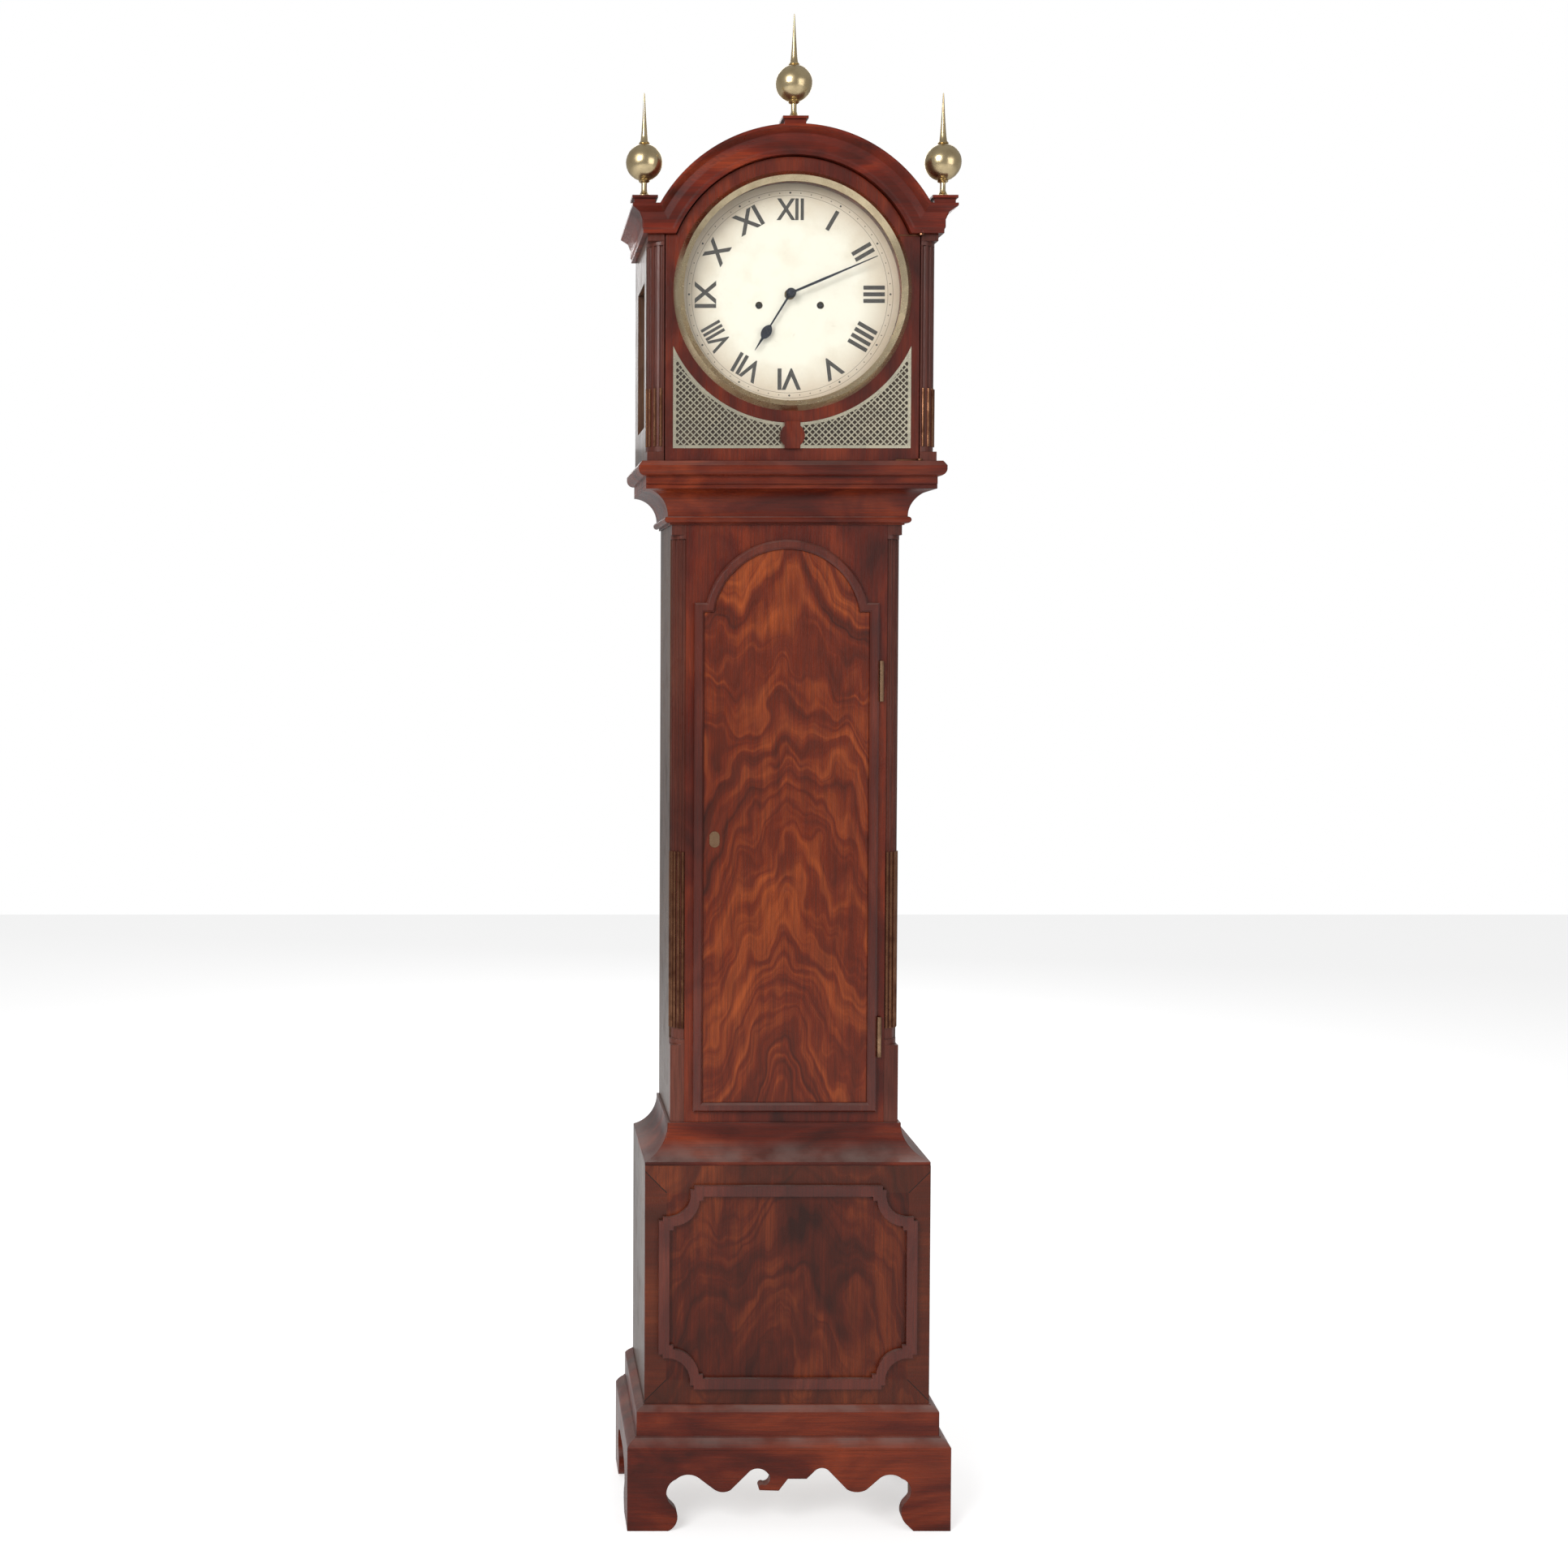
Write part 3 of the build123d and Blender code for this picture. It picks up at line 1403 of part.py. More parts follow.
def weights():
    """Brass-cased weights, each with a pulley in its stirrup, and the gut lines."""
    top = weight_z + weight_h
    for side, name in ((1, "going"), (-1, "strike")):
        x = side * winding_x
        case = [(weight_r, 0), (weight_r, weight_h - 4), (weight_r - 5, weight_h)]
        body = lathe((x, weight_y, weight_z), (0, 0, 1), 32, *case)
        yoke_y = (weight_y - 6.5, weight_y + 6.5)
        stirrup = bar((x, weight_y, top), (0, 0, 1), 2.5, 14)
        stirrup += box((x - 4, x + 4), yoke_y, (top + 12, top + 15))
        for y in (weight_y - 6.5, weight_y + 4.5):
            stirrup += box((x - 4, x + 4), (y, y + 2), (top + 14, pulley_z + 5))
        stirrup += bar((x, weight_y - 6.5, pulley_z), (0, 1, 0), pin_r, 13)
        save(f"{name}_weight", body + stirrup)
        rim = groove_r + 2.5
        groove = [(rim, -3.0), (groove_r, 0.0), (rim, 3.0)]
        wheel = lathe((x, weight_y, pulley_z), (0, 1, 0), 24, *groove)
        wheel -= bore((x, weight_y - 3, pulley_z), (0, 1, 0), pin_r, 6)
        save(f"{name}_pulley", wheel)
        line_len = seat_z - pulley_z
        strands = [
            bar((x + offset, weight_y, pulley_z), (0, 0, 1), line_r, line_len, 6)
            for offset in (pulley_r, -pulley_r)
        ]
        save(f"{name}_line", *strands)


os.makedirs("parts", exist_ok=True)
bracket_base()
plinth()
base()
backboard()
trunk()
columns()
trunk_door()
hood_case()
cornice()
finials()
hood_door()
movement()
going_train()
pendulum()
barrels()
motion_work()
hammer()
weights()
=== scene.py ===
import math
import bmesh
import bpy
from mathutils import Matrix, Vector


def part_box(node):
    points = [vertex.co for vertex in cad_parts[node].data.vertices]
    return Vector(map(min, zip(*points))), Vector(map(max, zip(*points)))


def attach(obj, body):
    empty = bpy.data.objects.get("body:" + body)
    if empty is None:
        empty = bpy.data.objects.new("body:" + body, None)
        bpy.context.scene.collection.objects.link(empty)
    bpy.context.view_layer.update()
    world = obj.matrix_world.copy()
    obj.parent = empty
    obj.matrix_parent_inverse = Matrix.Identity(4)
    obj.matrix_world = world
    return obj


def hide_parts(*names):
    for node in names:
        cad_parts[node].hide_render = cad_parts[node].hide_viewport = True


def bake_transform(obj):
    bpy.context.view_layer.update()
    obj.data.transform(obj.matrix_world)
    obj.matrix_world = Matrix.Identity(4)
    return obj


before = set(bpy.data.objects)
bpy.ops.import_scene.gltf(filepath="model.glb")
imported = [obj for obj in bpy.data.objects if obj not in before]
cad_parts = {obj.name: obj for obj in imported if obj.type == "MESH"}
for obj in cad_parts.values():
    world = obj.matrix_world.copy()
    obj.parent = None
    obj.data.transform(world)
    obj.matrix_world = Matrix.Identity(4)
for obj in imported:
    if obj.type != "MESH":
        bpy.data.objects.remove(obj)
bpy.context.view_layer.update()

# Dial: centre height, front face, and what is painted on it.
dial_z = 1.814
dial_front_y = -0.070
paint_t = 0.00012
numeral_r = 0.1235
numeral_h = 0.0315
numeral_w = 0.040
minute_dot_r = 0.1475
dot_radius = 0.00085
hour_dot_radius = 0.0015
minute_ring_r = (0.1437, 0.1512)

# Finials: where they stand, and the tops of their blocks.
finial_x = 0.216
finial_y = -0.0995
side_block_z = 1.948
middle_block_z = 2.061
finial_ball_r = 0.0265
finial_neck = 0.024
finial_spire = 0.073

# Sound frets: the right one's outline. The left one is its mirror image.
fret_front_y = -0.0974
fret_t = 0.0016
fret_r = 0.190
fret_x_in = 0.0115
fret_x_out = 0.173
fret_low_z = 1.587
fret_border = 0.0045
lattice_gap = 0.0094
lattice_bar = 0.0019
shortest_bar = 0.003
bar_step = 0.0005
bar_lap = 0.0008

# The silk behind the frets: its grid and its slack.
cloth_step = 0.008
cloth_slack = 0.00008

# The base panel's outline, and how far its crossbanded border laps in over it.
panel_half = 0.1906
panel_low_z = 0.2025
panel_high_z = 0.5058
border_lap = 0.012
mitre_w = 0.0009

# The weights' lines: from the seatboard down to the pulleys.
weight_x = 0.045
gut_rings = 30


class Graph:
    """A node tree with a short way to add nodes to it."""

    def __init__(self, tree):
        self.tree = tree

    def put(self, socket, value):
        """Links a socket, or sets a plain value."""
        if isinstance(value, bpy.types.NodeSocket):
            self.tree.links.new(value, socket)
        else:
            socket.default_value = value

    def add(self, kind, inputs, **settings):
        """A new node with its settings made, then its inputs linked or set."""
        made = self.tree.nodes.new("ShaderNode" + kind)
        for key, value in settings.items():
            setattr(made, key, value)
        for key, value in inputs.items():
            self.put(made.inputs[key], value)
        return made

    def math(self, operation, first, second=0.0, clamp=False):
        return self.add("Math", {0: first, 1: second}, operation=operation, use_clamp=clamp).outputs[0]

    def blend(self, amount, first, second):
        return self.add("Mix", {0: amount, 6: first, 7: second}, data_type="RGBA").outputs[2]

    def spread(self, value, low, high, new_low=0.0, new_high=1.0):
        """A value between low and high, brought to the new range."""
        ends = {"Value": value, "From Min": low, "From Max": high, "To Min": new_low, "To Max": new_high}
        return self.add("MapRange", ends).outputs[0]

    def stretch(self, place, factors):
        return self.add("VectorMath", {0: place, 1: factors}, operation="MULTIPLY").outputs[0]

    def noise(self, place, scale, detail=2.0, distortion=0.0):
        wanted = {"Vector": place, "Scale": scale, "Detail": detail, "Distortion": distortion}
        return self.add("TexNoise", wanted).outputs[0]


def new_group(name, inputs, outputs):
    """An empty node group, its graph, and the sockets at its two ends."""
    tree = bpy.data.node_groups.new(name, "ShaderNodeTree")
    for label, kind in inputs:
        tree.interface.new_socket(label, in_out="INPUT", socket_type="NodeSocket" + kind)
    for label, kind in outputs:
        tree.interface.new_socket(label, in_out="OUTPUT", socket_type="NodeSocket" + kind)
    entry = tree.nodes.new("NodeGroupInput")
    end = tree.nodes.new("NodeGroupOutput")
    return tree, Graph(tree), entry.outputs, end.inputs


def polished_wood_group():
    """Mahogany with its flame figure, ribbon stripe, grain and pores, along z."""
    inputs = [("Place", "Vector"), ("Dark", "Color"), ("Middle", "Color"), ("Light", "Color")]
    inputs += [("Figure", "Float"), ("Feather", "Float")]
    outputs = [("Colour", "Color"), ("Roughness", "Float"), ("Height", "Float")]
    tree, graph, given, result = new_group("polished_wood", inputs, outputs)
    place = given["Place"]
    axes = graph.add("SeparateXYZ", {0: place}).outputs
    # Feathered streaks that fan down and out from the middle line.
    sideways = graph.math("ABSOLUTE", axes[0])
    wander = graph.noise(graph.stretch(place, (9.0, 9.0, 4.0)), 1.0, 3.0)
    slant = graph.math("MULTIPLY", sideways, graph.math("MULTIPLY", given["Feather"], 64.0))
    rise = graph.math("ADD", graph.math("MULTIPLY", axes[2], 52.0), slant)
    drift = graph.math("ADD", rise, graph.math("MULTIPLY", wander, 24.0))
    along = graph.math("MULTIPLY", sideways, 9.0)
    plume = graph.add("CombineXYZ", {0: drift, 1: along, 2: axes[1]}).outputs[0]
    feather = graph.spread(graph.noise(plume, 0.62, 4.0, 0.4), 0.22, 0.78)
    # Flame clouds, narrow upright ribbons, and the board's slow change of tone.
    flame = graph.noise(graph.stretch(place, (12.0, 12.0, 5.0)), 1.0, 6.0, 1.3)
    ribbon = graph.noise(graph.stretch(place, (70.0, 70.0, 2.0)), 1.0, 2.0)
    broad = graph.noise(graph.stretch(place, (4.0, 4.0, 2.5)), 1.0, 1.0)
    crotch = graph.math("MULTIPLY", given["Feather"], 0.55)
    mixed = graph.add("Mix", {0: crotch, 2: flame, 3: feather}).outputs[0]
    level = graph.math("ADD", mixed, graph.spread(ribbon, 0.3, 0.7, -0.04, 0.04))
    level = graph.math("ADD", level, graph.spread(broad, 0.3, 0.7, -0.1, 0.1))
    # Figure widens or narrows the contrast about the middle tone.
    level = graph.math("SUBTRACT", level, 0.5)
    level = graph.math("ADD", graph.math("MULTIPLY", level, given["Figure"]), 0.5)
    low = graph.blend(graph.spread(level, 0.26, 0.5), given["Dark"], given["Middle"])
    tone = graph.blend(graph.spread(level, 0.5, 0.8), low, given["Light"])
    # Dark grain lines, and pores for the relief.
    grain = graph.noise(graph.stretch(place, (620.0, 620.0, 16.0)), 1.0, 2.0)
    tone = graph.blend(graph.spread(grain, 0.35, 0.62, 0.38, 0.0), tone, (0.028, 0.008, 0.004, 1))
    pores = graph.noise(graph.stretch(place, (1500.0, 1500.0, 55.0)), 1.0, 1.0)
    graph.put(result["Colour"], tone)
    graph.put(result["Roughness"], graph.spread(graph.math("ADD", grain, broad), 0.7, 1.3, 0.36, 0.24))
    swell = graph.math("MULTIPLY", feather, 0.2)
    graph.put(result["Height"], graph.math("ADD", graph.spread(pores, 0.4, 0.6), swell))
    return tree


def settled_dust_group():
    """Grey dust on what faces up, and polish worn dull in patches."""
    inputs = [("Colour", "Color"), ("Roughness", "Float"), ("Amount", "Float")]
    outputs = [("Colour", "Color"), ("Roughness", "Float")]
    tree, graph, given, result = new_group("settled_dust", inputs, outputs)
    spots = graph.add("TexCoord", {}).outputs
    upward = graph.add("SeparateXYZ", {0: spots["Normal"]}).outputs[2]
    patch = graph.noise(spots["Object"], 23.0, 4.0)
    settled = graph.math("MULTIPLY", graph.spread(upward, 0.45, 0.9), given["Amount"])
    amount = graph.math("MULTIPLY", settled, graph.spread(patch, 0.3, 0.62, 0.35, 1.0))
    smear = graph.math("MULTIPLY", graph.spread(patch, 0.5, 0.75), 0.10)
    graph.put(result["Colour"], graph.blend(amount, given["Colour"], (0.30, 0.225, 0.20, 1)))
    rough = graph.math("ADD", given["Roughness"], graph.math("MULTIPLY", amount, 0.4))
    graph.put(result["Roughness"], graph.math("ADD", rough, smear, clamp=True))
    return tree


def old_brass_group():
    """Brass that is bright where it is rubbed and brown where it isn't."""
    inputs = [("Place", "Vector"), ("Bright", "Color"), ("Dull", "Color"), ("Tarnish", "Float")]
    outputs = [("Colour", "Color"), ("Roughness", "Float"), ("Height", "Float")]
    tree, graph, given, result = new_group("old_brass", inputs, outputs)
    cloud = graph.noise(given["Place"], 55.0, 5.0)
    speck = graph.noise(given["Place"], 420.0, 2.0)
    scratch = graph.noise(graph.stretch(given["Place"], (900.0, 900.0, 40.0)), 1.0, 1.0)
    amount = graph.math("MULTIPLY", graph.spread(cloud, 0.38, 0.68), given["Tarnish"])
    amount = graph.math("ADD", amount, graph.spread(speck, 0.6, 0.75, 0.0, 0.3), clamp=True)
    graph.put(result["Colour"], graph.blend(amount, given["Bright"], given["Dull"]))
    graph.put(result["Roughness"], graph.spread(amount, 0.0, 1.0, 0.2, 0.5))
    graph.put(result["Height"], graph.math("ADD", graph.math("MULTIPLY", cloud, 0.4), scratch))
    return tree


wood_group = polished_wood_group()
dust_group = settled_dust_group()
brass_group = old_brass_group()


def begin(name):
    """A new material, its graph, its shader and its object coordinates."""
    material = bpy.data.materials.new(name)
    material.use_nodes = True
    graph = Graph(material.node_tree)
    shader = next(one for one in material.node_tree.nodes if one.type == "BSDF_PRINCIPLED")
    place = graph.add("TexCoord", {}).outputs["Object"]
    return material, graph, shader, place


def relief(graph, shader, height, strength, distance, rounding=0.0):
    """Fine relief from a height. rounding softens the edges by that radius, as handling does."""
    bump = graph.add("Bump", {"Strength": strength, "Distance": distance, "Height": height})
    if rounding:
        soft = graph.add("Bevel", {"Radius": rounding}, samples=4)
        graph.put(bump.inputs["Normal"], soft.outputs[0])
    graph.put(shader.inputs["Normal"], bump.outputs[0])


def across_grain(graph, axes):
    """A place with its height and its width swapped, so that the grain runs along x."""
    return graph.add("CombineXYZ", {0: axes[2], 1: axes[1], 2: axes[0]}).outputs[0]


def crossbanded(graph, axes, wanted, field):
    """The base front's border: its sides' grain lies across, and dark mitres part the strips."""
    middle_z = (panel_low_z + panel_high_z) / 2
    half_z = (panel_high_z - panel_low_z) / 2
    out_x = graph.math("SUBTRACT", graph.math("ABSOLUTE", axes[0]), panel_half - border_lap)
    out_z = graph.math("ABSOLUTE", graph.math("SUBTRACT", axes[2], middle_z))
    out_z = graph.math("SUBTRACT", out_z, half_z - border_lap)
    border = graph.math("GREATER_THAN", graph.math("MAXIMUM", out_x, out_z), 0.0)
    mitre = graph.math("ABSOLUTE", graph.math("SUBTRACT", out_x, out_z))
    seam = graph.math("MULTIPLY", graph.math("LESS_THAN", mitre, mitre_w), border)
    strip = {**wanted, "Place": across_grain(graph, axes), "Figure": 0.5, "Feather": 0.0}
    across = graph.add("Group", strip, node_tree=wood_group).outputs[0]
    upright = graph.math("MULTIPLY", border, graph.math("GREATER_THAN", out_x, out_z))
    colour = graph.blend(upright, field, across)
    colour = graph.blend(graph.math("MULTIPLY", border, 0.25), colour, (0.10, 0.030, 0.014, 1))
    return graph.blend(seam, colour, (0.012, 0.005, 0.003, 1))


def wood(name, dark, middle, light, figure=1.0, feather=0.0, along="z", dust=0.4, coat=0.14, band=False):
    """A polished wood. band adds the base front's crossbanded border round its panel."""
    material, graph, shader, place = begin(name)
    axes = graph.add("SeparateXYZ", {0: place}).outputs
    if along == "x":
        place = across_grain(graph, axes)
    wanted = {"Place": place, "Dark": (*dark, 1), "Middle": (*middle, 1), "Light": (*light, 1)}
    wanted.update({"Figure": figure, "Feather": feather})
    colour, roughness, height = graph.add("Group", wanted, node_tree=wood_group).outputs
    if band:
        colour = crossbanded(graph, axes, wanted, colour)
    layers = {"Colour": colour, "Roughness": roughness, "Amount": dust}
    dusty = graph.add("Group", layers, node_tree=dust_group)
    graph.put(shader.inputs["Base Color"], dusty.outputs["Colour"])
    graph.put(shader.inputs["Roughness"], dusty.outputs["Roughness"])
    shader.inputs["Specular IOR Level"].default_value = 0.26
    shader.inputs["Coat Weight"].default_value = coat
    shader.inputs["Coat Roughness"].default_value = 0.12
    relief(graph, shader, height, 0.25, 0.0003, rounding=0.0022)
    return material


def brass(name, bright, dull, tarnish, shaded_steel_before=None):
    """Brass. Where the last argument is given, what lies in front of that y is steel painted near-black: the
    painted shade inside the dial's winding holes.
    """
    material, graph, shader, place = begin(name)
    wanted = {"Place": place, "Bright": (*bright, 1), "Dull": (*dull, 1), "Tarnish": tarnish}
    made = graph.add("Group", wanted, node_tree=brass_group)
    colour = made.outputs["Colour"]
    if shaded_steel_before is not None:
        depth = graph.add("SeparateXYZ", {0: place}).outputs[1]
        # Painted shade: the winding squares are near-black so the winding holes read as dark, not as the
        # colour their steel has.
        colour = graph.blend(graph.math("LESS_THAN", depth, shaded_steel_before), colour, (0.035, 0.032, 0.03, 1))
    graph.put(shader.inputs["Base Color"], colour)
    graph.put(shader.inputs["Roughness"], made.outputs["Roughness"])
    shader.inputs["Metallic"].default_value = 1.0
    relief(graph, shader, made.outputs["Height"], 0.2, 0.0002)
    return material


def metal(name, light, dark, rough_low, rough_high, scale, metallic=1.0):
    """Steel or blued steel: two tones in clouds, fine draw marks."""
    material, graph, shader, place = begin(name)
    cloud = graph.noise(place, scale, 4.0)
    marks = graph.noise(graph.stretch(place, (1200.0, 1200.0, 60.0)), 1.0, 2.0)
    colour = graph.blend(graph.spread(cloud, 0.35, 0.65), (*light, 1), (*dark, 1))
    graph.put(shader.inputs["Base Color"], colour)
    graph.put(shader.inputs["Roughness"], graph.spread(cloud, 0.3, 0.7, rough_low, rough_high))
    shader.inputs["Metallic"].default_value = metallic
    relief(graph, shader, marks, 0.15, 0.0002)
    return material


def clear_glass():
    """Old window glass, a little wavy. Shadow rays pass it, so what is behind it stays lit."""
    material, graph, shader, place = begin("old_glass")
    ripple = graph.noise(place, 14.0, 1.0)
    shadow = graph.add("LightPath", {}).outputs["Is Shadow Ray"]
    graph.put(shader.inputs["Alpha"], graph.spread(shadow, 0.0, 1.0, 1.0, 0.06))
    shader.inputs["Base Color"].default_value = (0.93, 0.96, 0.94, 1)
    shader.inputs["Transmission Weight"].default_value = 1.0
    shader.inputs["IOR"].default_value = 1.46
    graph.put(shader.inputs["Roughness"], graph.spread(ripple, 0.3, 0.7, 0.0, 0.03))
    relief(graph, shader, ripple, 0.08, 0.002)
    return material


def dial_paint():
    """Cream dial paint, turning brown towards its rim, with crazing and two fine minute rings."""
    material, graph, shader, place = begin("dial_cream")
    axes = graph.add("SeparateXYZ", {0: place}).outputs
    flat = graph.add("CombineXYZ", {0: axes[0], 1: graph.math("SUBTRACT", axes[2], dial_z)}).outputs[0]
    radius = graph.add("VectorMath", {0: flat}, operation="LENGTH").outputs["Value"]
    stain = graph.noise(place, 26.0, 4.0)
    craze = graph.add("TexVoronoi", {"Vector": place, "Scale": 210.0}, feature="DISTANCE_TO_EDGE").outputs[0]
    edge = graph.math("ADD", radius, graph.spread(stain, 0.3, 0.7, -0.006, 0.006))
    colour = graph.blend(graph.spread(edge, 0.10, 0.163), (0.80, 0.735, 0.64, 1), (0.55, 0.42, 0.30, 1))
    colour = graph.blend(graph.spread(stain, 0.5, 0.75, 0.0, 0.30), colour, (0.60, 0.48, 0.35, 1))
    colour = graph.blend(graph.spread(craze, 0.0, 0.02, 0.18, 0.0), colour, (0.20, 0.14, 0.08, 1))
    for ring_r in minute_ring_r:
        off = graph.math("ABSOLUTE", graph.math("SUBTRACT", radius, ring_r))
        colour = graph.blend(graph.spread(off, 0.00015, 0.0004, 0.8, 0.0), colour, (0.03, 0.022, 0.018, 1))
    graph.put(shader.inputs["Base Color"], colour)
    graph.put(shader.inputs["Roughness"], graph.spread(stain, 0.3, 0.7, 0.32, 0.5))
    relief(graph, shader, craze, 0.06, 0.0002)
    return material


def painted(name, light, dark, scale, rough=0.5):
    """A plain painted or woven surface: two tones in fine clouds."""
    material, graph, shader, place = begin(name)
    cloud = graph.noise(place, scale, 3.0)
    colour = graph.blend(graph.spread(cloud, 0.35, 0.65), (*light, 1), (*dark, 1))
    graph.put(shader.inputs["Base Color"], colour)
    graph.put(shader.inputs["Roughness"], graph.spread(cloud, 0.3, 0.7, rough - 0.08, rough + 0.08))
    relief(graph, shader, cloud, 0.15, 0.0002)
    return material


def silk_cloth():
    """Dark silk: a fine plain weave of crossing threads."""
    material, graph, shader, place = begin("fret_silk_weave")
    axes = graph.add("SeparateXYZ", {0: place}).outputs
    thread = 2 * math.pi / 0.0011
    warp = graph.math("SINE", graph.math("MULTIPLY", axes[0], thread))
    weft = graph.math("SINE", graph.math("MULTIPLY", axes[2], thread))
    weave = graph.math("MULTIPLY", warp, weft)
    fade = graph.noise(place, 30.0, 3.0)
    base = graph.blend(graph.spread(fade, 0.35, 0.65), (0.040, 0.026, 0.018, 1), (0.075, 0.050, 0.032, 1))
    colour = graph.blend(graph.spread(weave, -1.0, 1.0, 0.0, 0.5), base, (0.02, 0.013, 0.010, 1))
    graph.put(shader.inputs["Base Color"], colour)
    graph.put(shader.inputs["Roughness"], graph.spread(weave, -1.0, 1.0, 0.55, 0.75))
    shader.inputs["Sheen Weight"].default_value = 0.3
    relief(graph, shader, weave, 0.3, 0.0002)
    return material


def gut_cord():
    """Twisted gut: amber, with the strands' slanting turns."""
    material, graph, shader, place = begin("gut_strands")
    axes = graph.add("SeparateXYZ", {0: place}).outputs
    turn = graph.math("ADD", graph.math("MULTIPLY", axes[2], 2600.0), graph.math("MULTIPLY", axes[0], 1500.0))
    twist = graph.math("SINE", turn)
    colour = graph.blend(graph.spread(twist, -1.0, 1.0), (0.30, 0.19, 0.09, 1), (0.55, 0.40, 0.22, 1))
    graph.put(shader.inputs["Base Color"], colour)
    graph.put(shader.inputs["Roughness"], graph.spread(twist, -1.0, 1.0, 0.5, 0.35))
    relief(graph, shader, twist, 0.4, 0.0004)
    return material


mahogany = {
    "dark": (0.034, 0.0048, 0.0027),
    "middle": (0.115, 0.0125, 0.0045),
    "light": (0.270, 0.0400, 0.0105),
}
flame_door = wood("flame_mahogany_door", (0.052, 0.0075, 0.0030), (0.160, 0.0200, 0.0050),
                  (0.400, 0.0780, 0.0150), 0.95, 1.0)
flame_base = wood("flame_mahogany_base", (0.030, 0.0048, 0.0020), (0.100, 0.0125, 0.0036),
                  (0.290, 0.0540, 0.0110), 1.05, 0.6, band=True)
case_upright = wood("mahogany_upright", **mahogany, figure=1.0)
case_level = wood("mahogany_level", **mahogany, figure=1.15, along="x", dust=0.45)
cornice_wood = wood("mahogany_cornice", (0.056, 0.0065, 0.0032), (0.175, 0.0165, 0.0055),
                    (0.360, 0.0520, 0.0120), 1.05, 0.0, "x", 0.3)
moulding_wood = wood("mahogany_moulding", (0.032, 0.0052, 0.0032), (0.100, 0.0130, 0.0058),
                     (0.250, 0.0500, 0.0240), 0.6, coat=0.6)
side_wood = wood("mahogany_side", (0.040, 0.0165, 0.0090), (0.092, 0.0400, 0.0200),
                 (0.160, 0.0800, 0.0420), 0.8)
column_wood = wood("mahogany_column", (0.045, 0.0100, 0.0065), (0.120, 0.0260, 0.0150),
                   (0.220, 0.0700, 0.0430), 0.6)
pine_wood = wood("pine", (0.200, 0.108, 0.048), (0.330, 0.205, 0.104), (0.440, 0.300, 0.165), 0.6, coat=0.0)
case_brass = brass("case_brass", (0.74, 0.61, 0.40), (0.40, 0.30, 0.18), 0.4)
hinge_brass = brass("hinge_brass", (0.44, 0.27, 0.16), (0.13, 0.062, 0.036), 0.7)
dull_brass = brass("dull_brass", (0.25, 0.115, 0.062), (0.075, 0.026, 0.015), 0.8)
finial_brass = brass("finial_brass", (0.70, 0.56, 0.33), (0.30, 0.215, 0.11), 0.5)
fret_brass = brass("fret_brass", (0.86, 0.80, 0.62), (0.52, 0.46, 0.33), 0.5)
movement_brass = brass("movement_brass", (0.76, 0.54, 0.24), (0.36, 0.235, 0.10), 0.45)
# The barrels: brass, with painted shade of the winding holes on the fronts of their winding squares.
barrel_brass_shaded_squares = brass("barrel_brass_shaded_squares", (0.76, 0.54, 0.24), (0.36, 0.235, 0.10), 0.45, -0.0385)
bare_steel = metal("bare_steel", (0.46, 0.45, 0.43), (0.30, 0.285, 0.265), 0.25, 0.45, 60.0)
blued_steel = metal("blued_steel", (0.022, 0.026, 0.045), (0.012, 0.013, 0.020), 0.2, 0.38, 90.0, 0.9)
glass = clear_glass()
cream = dial_paint()
numeral_black = painted("numeral_black", (0.018, 0.014, 0.012), (0.045, 0.034, 0.027), 700.0)
silk = silk_cloth()
gut = gut_cord()

# Which nodes of the clock have which finish.
looks = {
    flame_door: ["trunk_door_board"],
    flame_base: ["base_front"],
    case_upright: ["trunk_front_frame", "hood_door_frame", "hood_inner_frame", "door_baluster"],
    moulding_wood: ["trunk_door_moulding", "base_panel_moulding"],
    case_level: ["front_bracket_apron", "side_brackets", "plinth_mouldings", "waist_moulding",
                 "throat_moulding", "hood_base_moulding"],
    cornice_wood: ["hood_cornice", "hood_arch_front", "finial_blocks"],
    side_wood: ["base_sides", "trunk_sides", "hood_sides"],
    column_wood: ["trunk_columns", "hood_columns"],
    pine_wood: ["backboard", "base_inner_frame", "seatboard", "hood_base_frame", "hood_roof"],
    case_brass: ["dial_bezel"],
    dull_brass: ["trunk_column_reeds", "hood_column_reeds", "hood_door_pivots"],
    hinge_brass: ["trunk_hinge_frame_leaves", "trunk_door_brasses"],
    fret_brass: ["sound_frets"],
    finial_brass: ["finials"],
    movement_brass: ["movement_frame", "bell", "minute_wheel", "hour_wheel", "escape_wheel", "pendulum",
                     "going_weight", "strike_weight", "going_pulley", "strike_pulley"],
    barrel_brass_shaded_squares: ["going_barrel", "strike_barrel"],
    bare_steel: ["back_cock", "centre_arbor", "anchor", "strike_hammer", "trunk_lock_bolt"],
    blued_steel: ["minute_hand", "hour_hand"],
    glass: ["hood_side_glass", "dial_glass"],
    cream: ["dial_plate"],
    silk: ["fret_silk"],
    gut: ["going_line", "strike_line"],
}
for material, names in looks.items():
    for name in names:
        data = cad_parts[name].data
        data.materials.clear()
        data.materials.append(material)


def piece(name, mesh, body, material, smooth=True):
    """A finished mesh as a shown piece. It moves with a body, if one is named."""
    bmesh.ops.recalc_face_normals(mesh, faces=mesh.faces)
    data = bpy.data.meshes.new(name)
    mesh.to_mesh(data)
    mesh.free()
    for face in data.polygons:
        face.use_smooth = smooth
    data.materials.append(material)
    thing = bpy.data.objects.new(name, data)
    bpy.context.scene.collection.objects.link(thing)
    if body:
        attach(thing, body)
    return thing


def sharp_above(thing, degrees):
    """Keeps hard edges hard where the faces meet at more than this angle."""
    thing.data.set_sharp_from_angle(angle=math.radians(degrees))


